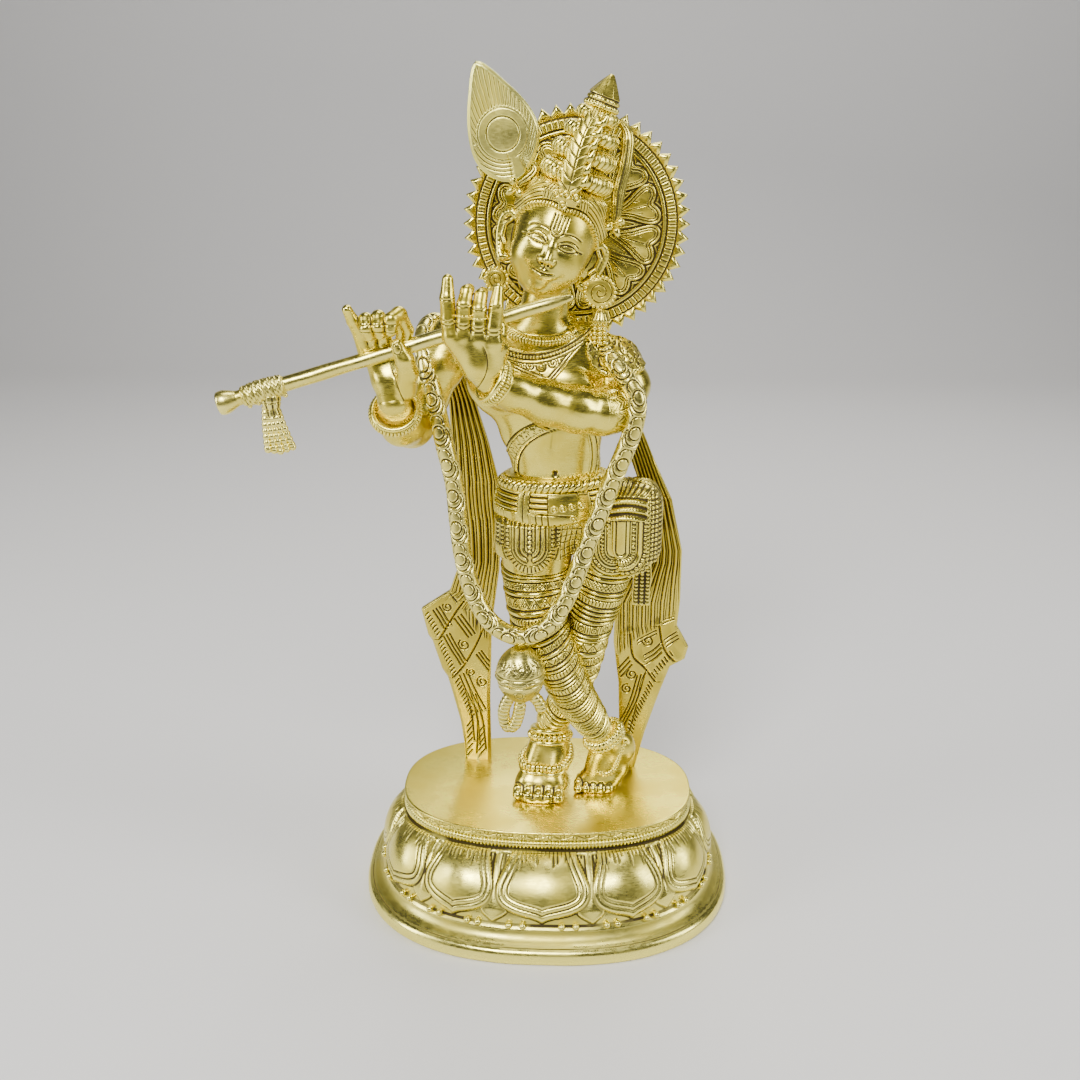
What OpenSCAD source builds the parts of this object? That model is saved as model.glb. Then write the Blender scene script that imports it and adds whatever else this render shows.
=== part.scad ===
// Cast brass statue of a flute player on an oval lotus base.
// Millimetres. +Z is up, the figure faces -Y, and the origin is the centre
// of the flat underside of the base.

/* [Base] */
// Half width of the base rim, along X
rim_half_w = 87.3; // [80:0.1:95]
// Half depth of the base rim, along Y
rim_half_d = 71.6; // [66:0.1:78]
// Half width of the deck, along X
deck_half_w = 68.4; // [64:0.1:72]
// Half depth of the deck, along Y
deck_half_d = 42.4; // [40:0.1:46]
// Height of the deck's top above the table
deck_top = 48.7; // [46:0.1:52]
// Thickness of the deck plate
deck_t = 4; // [3:0.1:5]
// Wall thickness of the hollow base casting
base_wall = 4; // [3:0.1:5]
// Number of lotus petals round the base
petals = 12; // [8:2:16]
// How far a petal's middle stands proud
petal_bulge = 3; // [0:0.1:4]

/* [Halo] */
// Radius of the halo disc to the tips of its teeth
halo_r = 48; // [45:0.1:51]
// Number of teeth on the halo's edge
halo_teeth = 50; // [30:2:60]
// Depth of the halo's teeth
tooth_depth = 5; // [3:0.1:6]
// Thickness of the halo plate
halo_t = 3; // [2:0.1:4]

/* [Flute and garland] */
// Diameter of the flute
flute_d = 6; // [5:0.1:7]
// Diameter of the flared knob at the flute's end
knob_d = 9.6; // [8:0.1:11]
// Diameter of the garland
garland_d = 8.6; // [7:0.1:9]

/* [Fixings] */
// Diameter of the studs that hold the figure to the deck
stud_d = 5; // [4:0.1:6]
// Width across the flats of the stud nuts
nut_af = 8; // [7:0.1:10]
// Diameter of the screw that holds the halo
halo_screw_d = 4; // [3:0.1:5]

/* [Hidden] */

brass = "goldenrod";
pale_brass = "palegoldenrod";
steel = "silver";

// How square the base's oval is: 2 is an ellipse
base_power = 2.4;

// Facets of rounded limbs and of small beads
limb_fn = 14;
bead_fn = 6;
ring_fn = 20;

// ---- points of the figure, chosen by hand -----------------------------

// Standing leg: the figure's left, from the hip down to the flat foot
standing_hip = [27, 3, 172];
standing_knee = [19, -2, 136];
standing_ankle = [1, 3, 76];
standing_heel = [4, 11, 56];
standing_ball = [-2, -12, 53];

// Crossed leg: the figure's right, passing in front with the heel raised
crossed_hip = [-4, 1, 178];
crossed_knee = [-3, -10, 138];
crossed_ankle = [25, -6, 80];
crossed_heel = [34, -1, 71];
crossed_ball = [25, -2, 54];

// Head: its centre, and its lean about Y towards +X
head_at = [1.5, -1, 301.5];
head_lean = 20;

// Left arm, which crosses the chest
left_shoulder = [28, 3, 250.5];
left_elbow = [29, -10, 236];
left_forearm = [2, -24, 240.5];
left_wrist = [-23, -39, 255];

// Right arm, on the flute's far side
right_shoulder = [-42, 3, 263];
right_elbow = [-58, -8, 226];
right_wrist = [-60, -33, 242];

// Flute axis, from its mouth tip to its knob
flute_tip = [11, -23, 284];
flute_end = [-127, -46, 245];
flute_len = norm(flute_end - flute_tip);

// Halo centre on its back plane, and where its screw enters
halo_at = [11, 26, 307];

// Studs: under the standing foot, the crossed foot and both scarf tails
studs = [[1, -3], [26, -3], [-35, 21], [38, 16]];

// ---- helpers -----------------------------------------------------------

function superellipse(half_w, half_d, count) = [
    for (i = [0 : count - 1])
        let (a = 360 * i / count, c = cos(a), s = sin(a))
        [
            half_w * sign(c) * pow(abs(c), 2 / base_power),
            half_d * sign(s) * pow(abs(s), 2 / base_power)
        ]
];

// A closed band: rings of equal length, the last one joined to the first
module ring_band(rings) {
    m = len(rings);
    n = len(rings[0]);
    points = [for (ring = rings) each ring];
    faces = [
        for (j = [0 : m - 1], i = [0 : n - 1])
            let (k = (j + 1) % m, h = (i + 1) % n)
            each [
                [j * n + i, k * n + h, j * n + h],
                [j * n + i, k * n + i, k * n + h]
            ]
    ];
    polyhedron(points, faces);
}

function unit(v) = v / norm(v);

// Open tube with flat ends, or a closed loop, swept along a path
module swept_tube(path, radius, sides, loop = false) {
    m = len(path);
    ahead = function (i) loop ? path[(i + 1) % m] : path[min(i + 1, m - 1)];
    behind = function (i) loop ? path[(i + m - 1) % m] : path[max(i - 1, 0)];
    rings = [
        for (i = [0 : m - 1])
            let (
                t = unit(ahead(i) - behind(i)),
                out = [0, 1, 0],
                side = unit(cross(t, out)),
                up = cross(side, t)
            )
            [
                for (k = [0 : sides - 1])
                    path[i] + radius * (cos(360 * k / sides) * side + sin(360 * k / sides) * up)
            ]
    ];
    last = loop ? m - 1 : m - 2;
    walls = [
        for (j = [0 : last], i = [0 : sides - 1])
            let (k = (j + 1) % m, h = (i + 1) % sides)
            each [
                [j * sides + i, j * sides + h, k * sides + h],
                [j * sides + i, k * sides + h, k * sides + i]
            ]
    ];
    caps = loop ? [] : [
        [for (i = [0 : sides - 1]) sides - 1 - i],
        [for (i = [0 : sides - 1]) (m - 1) * sides + i]
    ];
    polyhedron([for (ring = rings) each ring], concat(walls, caps));
}

// One rounded bone between two points
module bone(a, b, ra, rb, fn = limb_fn) {
    hull() {
        translate(a) sphere(ra, $fn = fn);
        translate(b) sphere(rb, $fn = fn);
    }
}

// A chain of bones: each entry is [point, radius]
module limb(chain, fn = limb_fn) {
    for (i = [0 : len(chain) - 2])
        bone(chain[i][0], chain[i + 1][0], chain[i][1], chain[i + 1][1], fn);
}

// A stack of oval slices: each entry is [x, y, z, half width, half depth]
module stack(slices, fn = ring_fn) {
    for (i = [0 : len(slices) - 2])
        hull()
            for (s = [slices[i], slices[i + 1]])
                translate([s[0], s[1], s[2]])
                    scale([s[3], s[4], 1])
                        cylinder(h = 0.02, r = 1, center = true, $fn = fn);
}

// Turns +Z onto a direction
module aim(direction) {
    d = unit(direction);
    tilt = acos(d[2]);
    turn = atan2(d[1], d[0]);
    rotate([0, tilt, turn]) children();
}

// A ring of round section round an axis
module loop_ring(at, direction, radius, section, fn = ring_fn) {
    translate(at)
        aim(direction)
            rotate_extrude($fn = fn)
                translate([radius, 0]) circle(section, $fn = bead_fn);
}

module in_head() {
    translate(head_at) rotate([0, head_lean, 0]) children();
}

// ---- base --------------------------------------------------------------

// Outer profile of the base, from the rim's foot up to the deck:
// [inset of half width, inset of half depth, height, petal share]
function base_outline() = [
    [0, 0, 0, 0], [0, 0, 5, 0], [0.7, 0.7, 6.8, 0], [2.2, 2.2, 8, 0],
    [6, 6.2, 10, 0], [8.2, 8.4, 13, 0], [8.8, 9.2, 17, 0.8], [9.8, 12, 23, 1],
    [12.2, 17.5, 30, 1], [15, 23.5, 35, 0.7], [17.6, 28.6, 38, 0.2],
    [19.8, 31, 39.2, 0], [19.8, 31, 41, 0],
    [rim_half_w - deck_half_w, rim_half_d - deck_half_d, deck_top - deck_t, 0]
];

function base_ring(inset_w, inset_d, z, bulge) = [
    for (i = [0 : petals * 5 - 1])
        let (
            a = 360 * i / (petals * 5) + 90,
            lobe = bulge * petal_bulge * (abs(cos(petals / 2 * a)) - 1)
        )
        [
            (rim_half_w - inset_w + lobe) * sign(cos(a)) * pow(abs(cos(a)), 2 / base_power),
            (rim_half_d - inset_d + lobe) * sign(sin(a)) * pow(abs(sin(a)), 2 / base_power),
            z
        ]
];

module lotus_base() {
    outline = base_outline();
    top = len(outline) - 1;
    outside = [for (p = outline) base_ring(p[0], p[1], p[2], p[3])];
    inside = [
        for (i = [top, top - 3, top - 5, top - 7, 5, 0])
            let (p = outline[i], wall = base_wall + petal_bulge * p[3])
            base_ring(p[0] + wall, p[1] + wall, p[2] - (i == top || i == 0 ? 0 : 2), 0)
    ];
    color(brass) ring_band(concat(outside, inside));
}

module deck_plate() {
    color(brass)
        difference() {
            translate([0, 0, deck_top - deck_t])
                linear_extrude(deck_t)
                    polygon(superellipse(deck_half_w, deck_half_d, 96));
            for (s = studs)
                translate([s[0], s[1], deck_top - deck_t - 1])
                    cylinder(h = deck_t + 2, d = stud_d, $fn = 24);
        }
}

stud_up = 4;
stud_down = 12;
nut_h = 4;

module foot_studs() {
    color(steel)
        for (s = studs)
            translate([s[0], s[1], deck_top - stud_down])
                cylinder(h = stud_down + stud_up, d = stud_d, $fn = 24);
}

module stud_nuts() {
    color(steel)
        for (s = studs)
            translate([s[0], s[1], deck_top - deck_t - nut_h])
                difference() {
                    cylinder(h = nut_h, d = nut_af / cos(30), $fn = 6);
                    translate([0, 0, -1]) cylinder(h = nut_h + 2, d = stud_d, $fn = 24);
                }
}

// ---- legs --------------------------------------------------------------

module toes(ball, spread, reach, r) {
    for (k = [0 : 4]) {
        root = ball + spread * (k - 2) / 2;
        bone(root, root + reach * (1 - 0.06 * k), r, r * (1.02 - 0.09 * k), 10);
    }
}

module standing_leg_shape() {
    limb([
        [standing_hip, 13.5], [[23, 0, 152], 12.5], [standing_knee, 10.6],
        [[15, -1, 112], 8.6], [[8, 1, 92], 7.4], [standing_ankle, 6.6],
        [standing_heel, 6.6], [standing_ball, 4.6]
    ]);
    bone(standing_ankle + [0, -2, -8], standing_ball, 7, 5);
    bone(standing_ball - [7, 0, -0.5], standing_ball + [7, 0, 0.5], 4.4, 4.2);
    toes([-3, -13, 52.6], [9, -0.5, 0], [-0.6, -5, 0], 3.1);
}

module crossed_leg_shape() {
    limb([
        [crossed_hip, 16], [[-5, -2, 158], 15], [crossed_knee, 12.4],
        [[4, -13, 122], 10], [[13, -12, 102], 8.8], [crossed_ankle, 6.8],
        [crossed_heel, 6], [[33, 0, 60], 5], [crossed_ball, 4]
    ]);
    bone([25, -5, 74], crossed_ball, 6, 4.6);
    bone(crossed_ball - [5.5, 0, 0], crossed_ball + [5, 0, 0], 3.8, 3.8);
    toes([23, -5, 52.3], [8, 0, 0], [-0.5, -5, 0], 2.8);
}

module above_deck() {
    difference() {
        children();
        translate([-100, -100, deck_top - 20]) cube([200, 200, 20]);
    }
}

module stud_holes() {
    for (s = studs)
        translate([s[0], s[1], deck_top - 1]) cylinder(h = stud_up + 1, d = stud_d, $fn = 24);
}

module standing_leg() {
    color(brass)
        above_deck() difference() {
            standing_leg_shape();
            hip_wrap_shape();
            stud_holes();
        }
}

module crossed_leg() {
    color(brass)
        above_deck() difference() {
            crossed_leg_shape();
            hip_wrap_shape();
            standing_leg_shape();
            stud_holes();
        }
}

module standing_anklets() {
    color(brass)
        difference() {
            union() {
                loop_ring([1.2, 3, 77], [0, 0.3, 1], 8, 2);
                loop_ring([1.4, 2.4, 73], [0, 0.3, 1], 8.6, 1.8);
                loop_ring([0.4, -2, 62], [0, -0.75, 1], 10.4, 1.9);
            }
            standing_leg_shape();
            crossed_leg_shape();
        }
}

module crossed_anklets() {
    color(brass)
        difference() {
            union() {
                loop_ring([26, -5, 79], [0.5, 0.1, -1], 8, 2.2);
                loop_ring([30.5, -4, 68], [1, -0.6, 0.4], 7.4, 1.7);
            }
            crossed_leg_shape();
            standing_leg_shape();
        }
}

// ---- hips and waist ----------------------------------------------------

module hip_wrap_shape() {
    stack([
        [11, 3, 166, 26, 12], [10, 3, 170, 30, 15.5], [8, 3, 178, 31, 17.5],
        [5, 3, 186, 28, 17], [3, 3, 194, 24.5, 15.5], [2, 3, 199, 21.5, 14]
    ]);
}

module hip_wrap() {
    color(brass)
        difference() {
            hip_wrap_shape();
            torso_shape();
        }
}

module side_cloth_shape() {
    stack([
        [40, 3, 163, 8, 9], [40, 3, 170, 10.5, 12], [39, 3, 184, 11.5, 13],
        [38, 3, 196, 11.5, 12], [38, 3, 202, 9, 9]
    ], 16);
    stack([[42, 7, 141, 4.5, 2.5], [41.5, 6.5, 154, 5, 4], [41, 6, 166, 5.5, 5]], 12);
}

module side_cloth() {
    color(brass)
        difference() {
            side_cloth_shape();
            hip_wrap_shape();
            standing_leg_shape();
            right_scarf_solid();
        }
}

module waist_belt_shape() {
    stack([
        [2.5, 2.5, 187, 26, 17.5], [2, 2.5, 190, 27, 18.5], [1, 2.5, 197, 24.5, 16.5],
        [1.5, 2.5, 201, 22, 15.5], [3, 2.5, 204, 21, 14.8], [3.5, 2.5, 205.5, 20, 14]
    ]);
    bone([8, -16, 196], [10, -17, 187], 3.4, 3, 12);
}

module waist_belt() {
    color(brass)
        difference() {
            waist_belt_shape();
            hip_wrap_shape();
            torso_shape();
            side_cloth_shape();
            garland_shape();
        }
}

// ---- torso and head ----------------------------------------------------

module torso_shape() {
    stack([
        [2.5, 3, 193, 16, 10], [4, 2.5, 203, 18.5, 12.6], [4.5, 2, 212, 18.5, 12.4],
        [2.5, 1.5, 221, 21, 13.4], [-1, 1, 231, 26, 15], [-4, 0.5, 242, 31, 15.6],
        [-5.5, 1.5, 251, 35, 14.6], [-6, 2.5, 258, 33, 12], [-5.5, 3, 264, 24, 9.6],
        [-4, 3, 268, 14, 9]
    ]);
}

module torso() {
    color(brass)
        difference() {
            torso_shape();
            garland_shape();
        }
}

module neck_shape() {
    stack([[-4, 3, 264, 11.5, 10], [-3, 3, 270, 10.5, 9.6], [-1, 3, 278, 10, 9.6],
        [0, 3, 286, 10, 10]]);
}

module head_shape() {
    neck_shape();
    in_head() {
        stack([
            [0, -8, -18.5, 5, 7], [0, -5.5, -15, 9.5, 12], [0, -3, -9, 14, 15.5],
            [0, -1, -2, 16.6, 17.6], [0, 0, 6, 17.6, 18.4], [0, 0.5, 13, 16.8, 18],
            [0, 1, 20, 13, 14.5]
        ]);
        bone([0, -17, 0.5], [0, -20, -6], 1.6, 2.4, 12);
        for (side = [-1, 1])
            bone([side * 17, 3, 3], [side * 16.6, 2, -8], 2.6, 2, 12);
    }
}

module head() {
    color(brass)
        difference() {
            head_shape();
            torso_shape();
            halo_screw_solid();
        }
}

module necklaces_shape() {
    loop_ring([-4.5, 2, 267.5], [0, -0.15, 1], 12.5, 2.4);
    loop_ring([-4.5, 0.5, 264.5], [0, -0.2, 1], 15.5, 2.2);
    stack([
        [-4, -13.6, 239, 3, 3], [-4.5, -11, 246, 9, 5.4], [-5, -8.5, 254, 17, 7],
        [-5, -6, 261, 20, 8], [-5, -4, 266, 17, 8]
    ], 16);
    for (i = [0 : 3])
        bone([-3, -15, 240 - 1.4 * i], [-3, -15, 239 - 1.4 * i], 2.2, 1.8, bead_fn);
}

module necklaces() {
    color(brass)
        difference() {
            necklaces_shape();
            torso_shape();
            head_shape();
            left_arm_shape();
            left_hand_shape();
            flute_solid();
            garland_shape();
        }
}

// Band and coiled hair, in the head's own frame
module headdress_shape() {
    in_head() {
        stack([
            [0, 0.8, 9, 20, 20.6], [0, 1, 13, 20.8, 21.4], [0, 1.4, 18, 20, 20.6],
            [0, 2, 23, 17.6, 18], [0, 2, 31, 16.6, 17], [0, 2, 38, 15.6, 15.6],
            [0, 2, 45, 13, 13], [0, 2, 51, 9.6, 9.6], [0, 2, 55, 7.6, 7.6]
        ]);
        for (side = [-1, 1], tier = [0 : 3])
            bone([side * (16.4 - 1.8 * tier), -4, 24 + 7.4 * tier],
                [side * (16.4 - 1.8 * tier), 7, 24 + 7.4 * tier], 3.6, 3.6, bead_fn + 2);
    }
}

module headdress() {
    color(brass)
        difference() {
            headdress_shape();
            head_shape();
            brow_plume_shape();
            finial();
            halo_disc_solid();
            halo_screw_solid();
        }
}

module brow_plume_shape() {
    in_head() {
        stack([
            [1, -20.5, 15, 6.5, 2.6], [1, -20, 20, 6.5, 3.4], [1, -18, 25, 5, 3],
            [1, -16, 32, 4.4, 3], [1, -14, 40, 3.8, 3], [1, -10, 50, 3, 2.6]
        ], 12);
        for (i = [0 : 3])
            bone([-4 + 3 * i, -23, 17.5], [-4 + 3 * i, -21, 17.5], 1.2, 1.2, bead_fn);
    }
}

module brow_plume() {
    color(brass)
        difference() {
            brow_plume_shape();
            head_shape();
        }
}

finial_base = 54.6;

module finial() {
    color(brass)
        in_head() translate([0, 2, finial_base]) {
            cylinder(h = 2, r = 7.4, $fn = 32);
            translate([0, 0, 2]) cylinder(h = 1.6, r = 6.4, $fn = 32);
            translate([0, 0, 3.6]) cylinder(h = 9.4, r1 = 5.8, r2 = 0.8, $fn = 32);
        }
}

// Outline drawn in X and Z: a round eye end with a long pointed tip
module feather_solid() {
    translate([0, -5, 0])
        rotate([90, 0, 0])
            linear_extrude(2.6, center = true)
                hull() {
                    translate([-17.2, 339.5]) circle(14, $fn = 48);
                    translate([-19.5, 350]) circle(10, $fn = 32);
                    translate([-27.3, 369.1]) circle(0.9, $fn = 16);
                }
}

module feather() {
    color(brass)
        difference() {
            feather_solid();
            headdress_shape();
        }
}

module ear_discs_shape() {
    translate([21, -5, 283]) rotate([90, 0, 0]) cylinder(h = 3, r = 6, center = true, $fn = ring_fn);
    for (i = [0 : 3])
        bone([21.5, -5, 276 - 3.2 * i], [21.6, -5.5, 274 - 3.2 * i], 2.6 - 0.3 * i, 2.4 - 0.3 * i, bead_fn);
    translate([-20.5, -4, 288]) rotate([90, 0, 0]) cylinder(h = 3, r = 4.4, center = true, $fn = ring_fn);
    for (i = [0 : 3])
        bone([-20.5, -4.5, 283 - 2.6 * i], [-20.5, -4.8, 281 - 2.6 * i], 2 - 0.25 * i, 1.8 - 0.2 * i, bead_fn);
}

module ear_discs() {
    color(brass)
        difference() {
            ear_discs_shape();
            head_shape();
            torso_shape();
            left_hand_shape();
        }
}

// ---- halo --------------------------------------------------------------

function saw_edge() = [
    for (i = [0 : 2 * halo_teeth - 1])
        let (a = 180 * i / halo_teeth, r = i % 2 == 0 ? halo_r : halo_r - tooth_depth)
        [r * cos(a), r * sin(a)]
];

module at_halo() {
    translate(halo_at) rotate([90, 0, 0]) children();
}

module halo_disc_solid() {
    at_halo() {
        linear_extrude(halo_t) polygon(saw_edge());
        rotate_extrude($fn = 64) {
            translate([halo_r - tooth_depth - 3, halo_t]) circle(1.6, $fn = 16);
            translate([halo_r - tooth_depth - 9, halo_t]) circle(1, $fn = 16);
        }
    }
}

module halo_disc() {
    color(brass)
        difference() {
            halo_disc_solid();
            at_halo() translate([0, 0, -1]) cylinder(h = halo_t + 3, d = halo_screw_d, $fn = 24);
        }
}

module halo_screw_solid() {
    at_halo() {
        translate([0, 0, -2.5]) cylinder(h = 2.5, r = halo_screw_d, $fn = 24);
        cylinder(h = 12, d = halo_screw_d, $fn = 24);
    }
}

module halo_screw() {
    color(steel) halo_screw_solid();
}

// ---- arms, hands and their rings ---------------------------------------

module left_arm_shape() {
    limb([
        [left_shoulder, 10], [[34, -2, 242], 9.4], [left_elbow, 8.6],
        [[16, -18, 237], 9.2], [left_forearm, 9], [[-10, -31, 246], 7.6], [left_wrist, 5.6]
    ]);
    bone(left_wrist, left_wrist + [-3, -1.5, 3], 5.6, 5.6);
    bone([27, 4, 254], left_shoulder, 8, 10);
}

module left_arm() {
    color(brass)
        difference() {
            left_arm_shape();
            torso_shape();
            left_hand_shape();
            garland_shape();
        }
}

module left_hand_shape() {
    palm = [-28, -41.5, 264];
    limb([[[-26, -42, 259.5], 5.4], [palm, 7], [[-29, -42, 271], 6.2]], 10);
    bone([-35, -42, 270], [-22, -42, 271], 3.4, 3.4, 12);
    tips = [[-35.5, -40, 293], [-30.5, -42, 288.5], [-24.5, -43, 288], [-18.8, -42, 290]];
    for (k = [0 : 3]) {
        root = [-35.5 + 4.6 * k, -43, 271];
        mid = root + [-0.2, -3.2 + 0.4 * k, 8];
        limb([[root, 2.7], [mid, 2.5], [tips[k], 1.7]], 8);
    }
    limb([[[-22, -42, 263], 3.6], [[-19, -38, 270], 2.8], [[-18, -34, 275], 2.4]], 10);
}

module left_hand() {
    color(brass)
        difference() {
            left_hand_shape();
            flute_solid();
        }
}

module left_bangle() {
    color(brass)
        difference() {
            union() {
                loop_ring([-19.5, -37, 253], [-1, -0.5, 0.65], 8, 2.4);
                loop_ring([-22.5, -38.5, 255], [-1, -0.5, 0.65], 7, 2);
            }
            left_arm_shape();
            left_hand_shape();
            necklaces_shape();
        }
}

module left_armlet() {
    color(brass)
        difference() {
            loop_ring([24, -13, 236.5], [1, 0.45, 0], 8.6, 2.4);
            left_arm_shape();
            torso_shape();
            garland_shape();
        }
}

module right_arm_shape() {
    limb([
        [right_shoulder, 10], [[-48, -1, 250], 9.6], [[-54, -5, 236], 9],
        [right_elbow, 8.8], [[-60, -20, 231], 8.4], [right_wrist, 6]
    ]);
    bone(right_wrist, right_wrist + [0, -2, 4], 6, 6);
    bone([-34, 3, 262], right_shoulder, 9, 10);
    bone(right_elbow, right_elbow + [-2, -2, -1], 8.6, 8.4);
}

module right_arm() {
    color(brass)
        difference() {
            right_arm_shape();
            torso_shape();
            right_hand_shape();
            garland_shape();
        }
}

module right_hand_shape() {
    limb([[[-60, -36, 247], 6.4], [[-62, -37, 255], 8.2], [[-63, -37, 264], 7.4]], 12);
    bone([-70.5, -38, 266], [-56, -38, 270], 3.4, 3.4, 12);
    for (k = [0 : 2]) {
        root = [-67 + 5 * k, -38, 268 + 1.3 * k];
        knuckle = root + [1.5, -5, 8.5];
        tip = root + [2.4, -9, 1];
        limb([[root, 2.9], [knuckle, 2.7], [tip, 2.2]], 8);
    }
    limb([[[-71, -38, 266], 2.7], [[-73, -40, 273], 2.3], [[-74.5, -39, 279.5], 1.7]], 8);
    limb([[[-55, -38, 256], 3.6], [[-54, -42, 263], 2.8], [[-58, -44, 269], 2.2]], 10);
}

module right_hand() {
    color(brass)
        difference() {
            right_hand_shape();
            flute_solid();
        }
}

module right_bangle() {
    color(brass)
        difference() {
            union() {
                loop_ring([-60, -30, 239], [0, -0.75, 0.65], 9.4, 2.6);
                loop_ring([-60, -32.5, 241.5], [0, -0.75, 0.65], 8, 2);
            }
            right_arm_shape();
            right_hand_shape();
        }
}

// ---- flute, garland and scarves ----------------------------------------

knob_len = 8;
tip_len = 12;

module flute_solid() {
    translate(flute_end)
        aim(flute_tip - flute_end) {
            cylinder(h = 3, d1 = knob_d - 1.6, d2 = knob_d, $fn = 32);
            translate([0, 0, 3]) cylinder(h = knob_len - 3, d1 = knob_d, d2 = flute_d, $fn = 32);
            translate([0, 0, knob_len])
                cylinder(h = flute_len - knob_len - tip_len, d = flute_d, $fn = 32);
            translate([0, 0, flute_len - tip_len])
                cylinder(h = tip_len, d1 = flute_d, d2 = 1.4, $fn = 32);
        }
}

module flute() {
    color(pale_brass) flute_solid();
}

function along_flute(distance) = flute_end + unit(flute_tip - flute_end) * distance;

module flute_tassel() {
    tie = along_flute(21);
    color(pale_brass)
        difference() {
            union() {
                limb([[along_flute(11), 4.1], [along_flute(16), 4.6], [along_flute(24), 4.2]], 12);
                bone(tie, tie + [0, 0, -8], 4, 3.2, 10);
                for (k = [-2 : 2])
                    limb([
                        [tie + [k, 0.4 * k, -6], 1.5],
                        [tie + [0.6 + 1.7 * k, 0.8 * k, -14], 1.4],
                        [tie + [2.4 + 2.3 * k, 1.2 * k, -24.5 + 0.6 * abs(k)], 1.5]
                    ], bead_fn);
            }
            flute_solid();
        }
}

// Loop of the garland: down the front, and round the back of the neck
garland_route = [
    [-40, 13, 265], [-49, 8, 268], [-52, 0, 263], [-50, -8, 252], [-46.5, -12, 238],
    [-42.5, -15, 220], [-39, -16, 204], [-37.5, -18, 188], [-35.5, -20, 172],
    [-31, -22, 156], [-23, -25, 143.5], [-11, -27, 138.5], [0, -27, 143],
    [7.5, -25, 153], [13, -23, 166], [17.5, -21, 179], [22, -20.5, 192],
    [27, -20, 206], [32, -19.5, 219], [36, -19, 231], [36.5, -17.5, 243],
    [30, -13, 252], [24, -4, 259], [21, 6, 262], [14, 14, 264], [3, 17, 266],
    [-10, 18, 267], [-26, 17, 266]
];

module garland_shape() {
    swept_tube(garland_route, garland_d / 2, 10, loop = true);
}

module garland() {
    color(pale_brass) garland_shape();
}

module garland_pendant() {
    color(pale_brass)
        difference() {
            union() {
                limb([[[-11, -28, 131], 4.5], [[-11, -28, 126], 8], [[-11, -27.5, 119], 10.5],
                    [[-11, -27, 114], 8.5], [[-11, -26.5, 109], 5.5]]);
                limb([[[-15, -26, 110], 3], [[-18, -25, 101], 3.2], [[-18, -24, 93], 3.4]], 10);
                limb([[[-10, -26, 108], 3], [[-9, -24, 101], 3], [[-7.5, -22, 97], 2.8]], 10);
                limb([[[-5, -25, 109], 2.6], [[-2, -23, 103], 2.6], [[-1, -21.5, 100], 2.4]], 10);
            }
            garland_shape();
            crossed_leg_shape();
        }
}

scarf_t = 5;

// Stands a flat outline, drawn in X and Z, on the deck with a lean in Y
module standing_sheet(foot_y, lean) {
    translate([0, foot_y, deck_top])
        rotate([lean, 0, 0])
            rotate([90, 0, 0])
                linear_extrude(scarf_t, center = true) children();
}

module left_scarf_solid() {
    standing_sheet(21, 1.8)
        polygon([
            [-42, 0], [-28, 0], [-28.5, 35], [-27, 75], [-23, 103], [-21.6, 128],
            [-22.5, 147], [-27, 166], [-32, 184], [-38, 200], [-47, 200], [-44, 184],
            [-42.7, 146], [-41.4, 107], [-46.5, 92], [-60, 83], [-56, 60], [-49, 51],
            [-47, 39], [-43, 22]
        ]);
}

module left_scarf() {
    color(brass)
        difference() {
            above_deck() left_scarf_solid();
            stud_holes();
            right_arm_shape();
        }
}

module right_scarf_solid() {
    standing_sheet(16, 0)
        polygon([
            [33, 0], [43, 0], [47, 20], [53.5, 42], [58, 56], [65, 60], [66.5, 67],
            [60, 78], [61.5, 90], [61.3, 115], [56, 139], [47, 158], [41, 172],
            [37, 184], [29, 184], [32, 168], [36, 158], [44, 138], [42, 109],
            [31, 89], [30.5, 68], [33.5, 47], [34.5, 20]
        ]);
}

module right_scarf() {
    color(brass)
        difference() {
            above_deck() right_scarf_solid();
            stud_holes();
            left_arm_shape();
        }
}

lotus_base();
deck_plate();
foot_studs();
stud_nuts();
standing_leg();
crossed_leg();
standing_anklets();
crossed_anklets();
hip_wrap();
side_cloth();
waist_belt();
torso();
necklaces();
head();
headdress();
brow_plume();
finial();
feather();
ear_discs();
halo_disc();
halo_screw();
left_arm();
left_hand();
left_bangle();
left_armlet();
right_arm();
right_hand();
right_bangle();
flute();
flute_tassel();
garland();
garland_pendant();
left_scarf();
right_scarf();
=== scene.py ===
import math
import bpy
import numpy as np
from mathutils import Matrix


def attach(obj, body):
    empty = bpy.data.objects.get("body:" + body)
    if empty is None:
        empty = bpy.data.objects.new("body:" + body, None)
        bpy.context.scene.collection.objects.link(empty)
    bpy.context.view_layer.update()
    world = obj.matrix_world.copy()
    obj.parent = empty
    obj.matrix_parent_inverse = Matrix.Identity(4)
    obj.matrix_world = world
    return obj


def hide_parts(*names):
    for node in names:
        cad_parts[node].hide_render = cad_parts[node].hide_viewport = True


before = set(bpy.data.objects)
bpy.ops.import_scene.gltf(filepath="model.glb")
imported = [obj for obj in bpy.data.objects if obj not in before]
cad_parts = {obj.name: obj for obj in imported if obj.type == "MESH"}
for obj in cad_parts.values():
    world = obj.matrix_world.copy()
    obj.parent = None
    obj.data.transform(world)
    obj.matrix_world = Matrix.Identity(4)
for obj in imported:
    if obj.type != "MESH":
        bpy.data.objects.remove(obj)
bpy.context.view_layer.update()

MM = 0.001                      # geometry below is worked out in millimetres
RNG = np.random.default_rng(7)
FRONT = -math.pi / 2            # the figure faces -Y
TAU = 2 * math.pi


# ---- small maths -------------------------------------------------------------

def vec(*xyz):
    return np.array(xyz, float)


def unit(v):
    return v / np.maximum(np.linalg.norm(v, axis=-1, keepdims=True), 1e-9)


def ramp(x, low, high):
    """Smooth step from 0 at low to 1 at high."""
    t = np.clip((x - low) / (high - low), 0, 1)
    return t * t * (3 - 2 * t)


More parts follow.
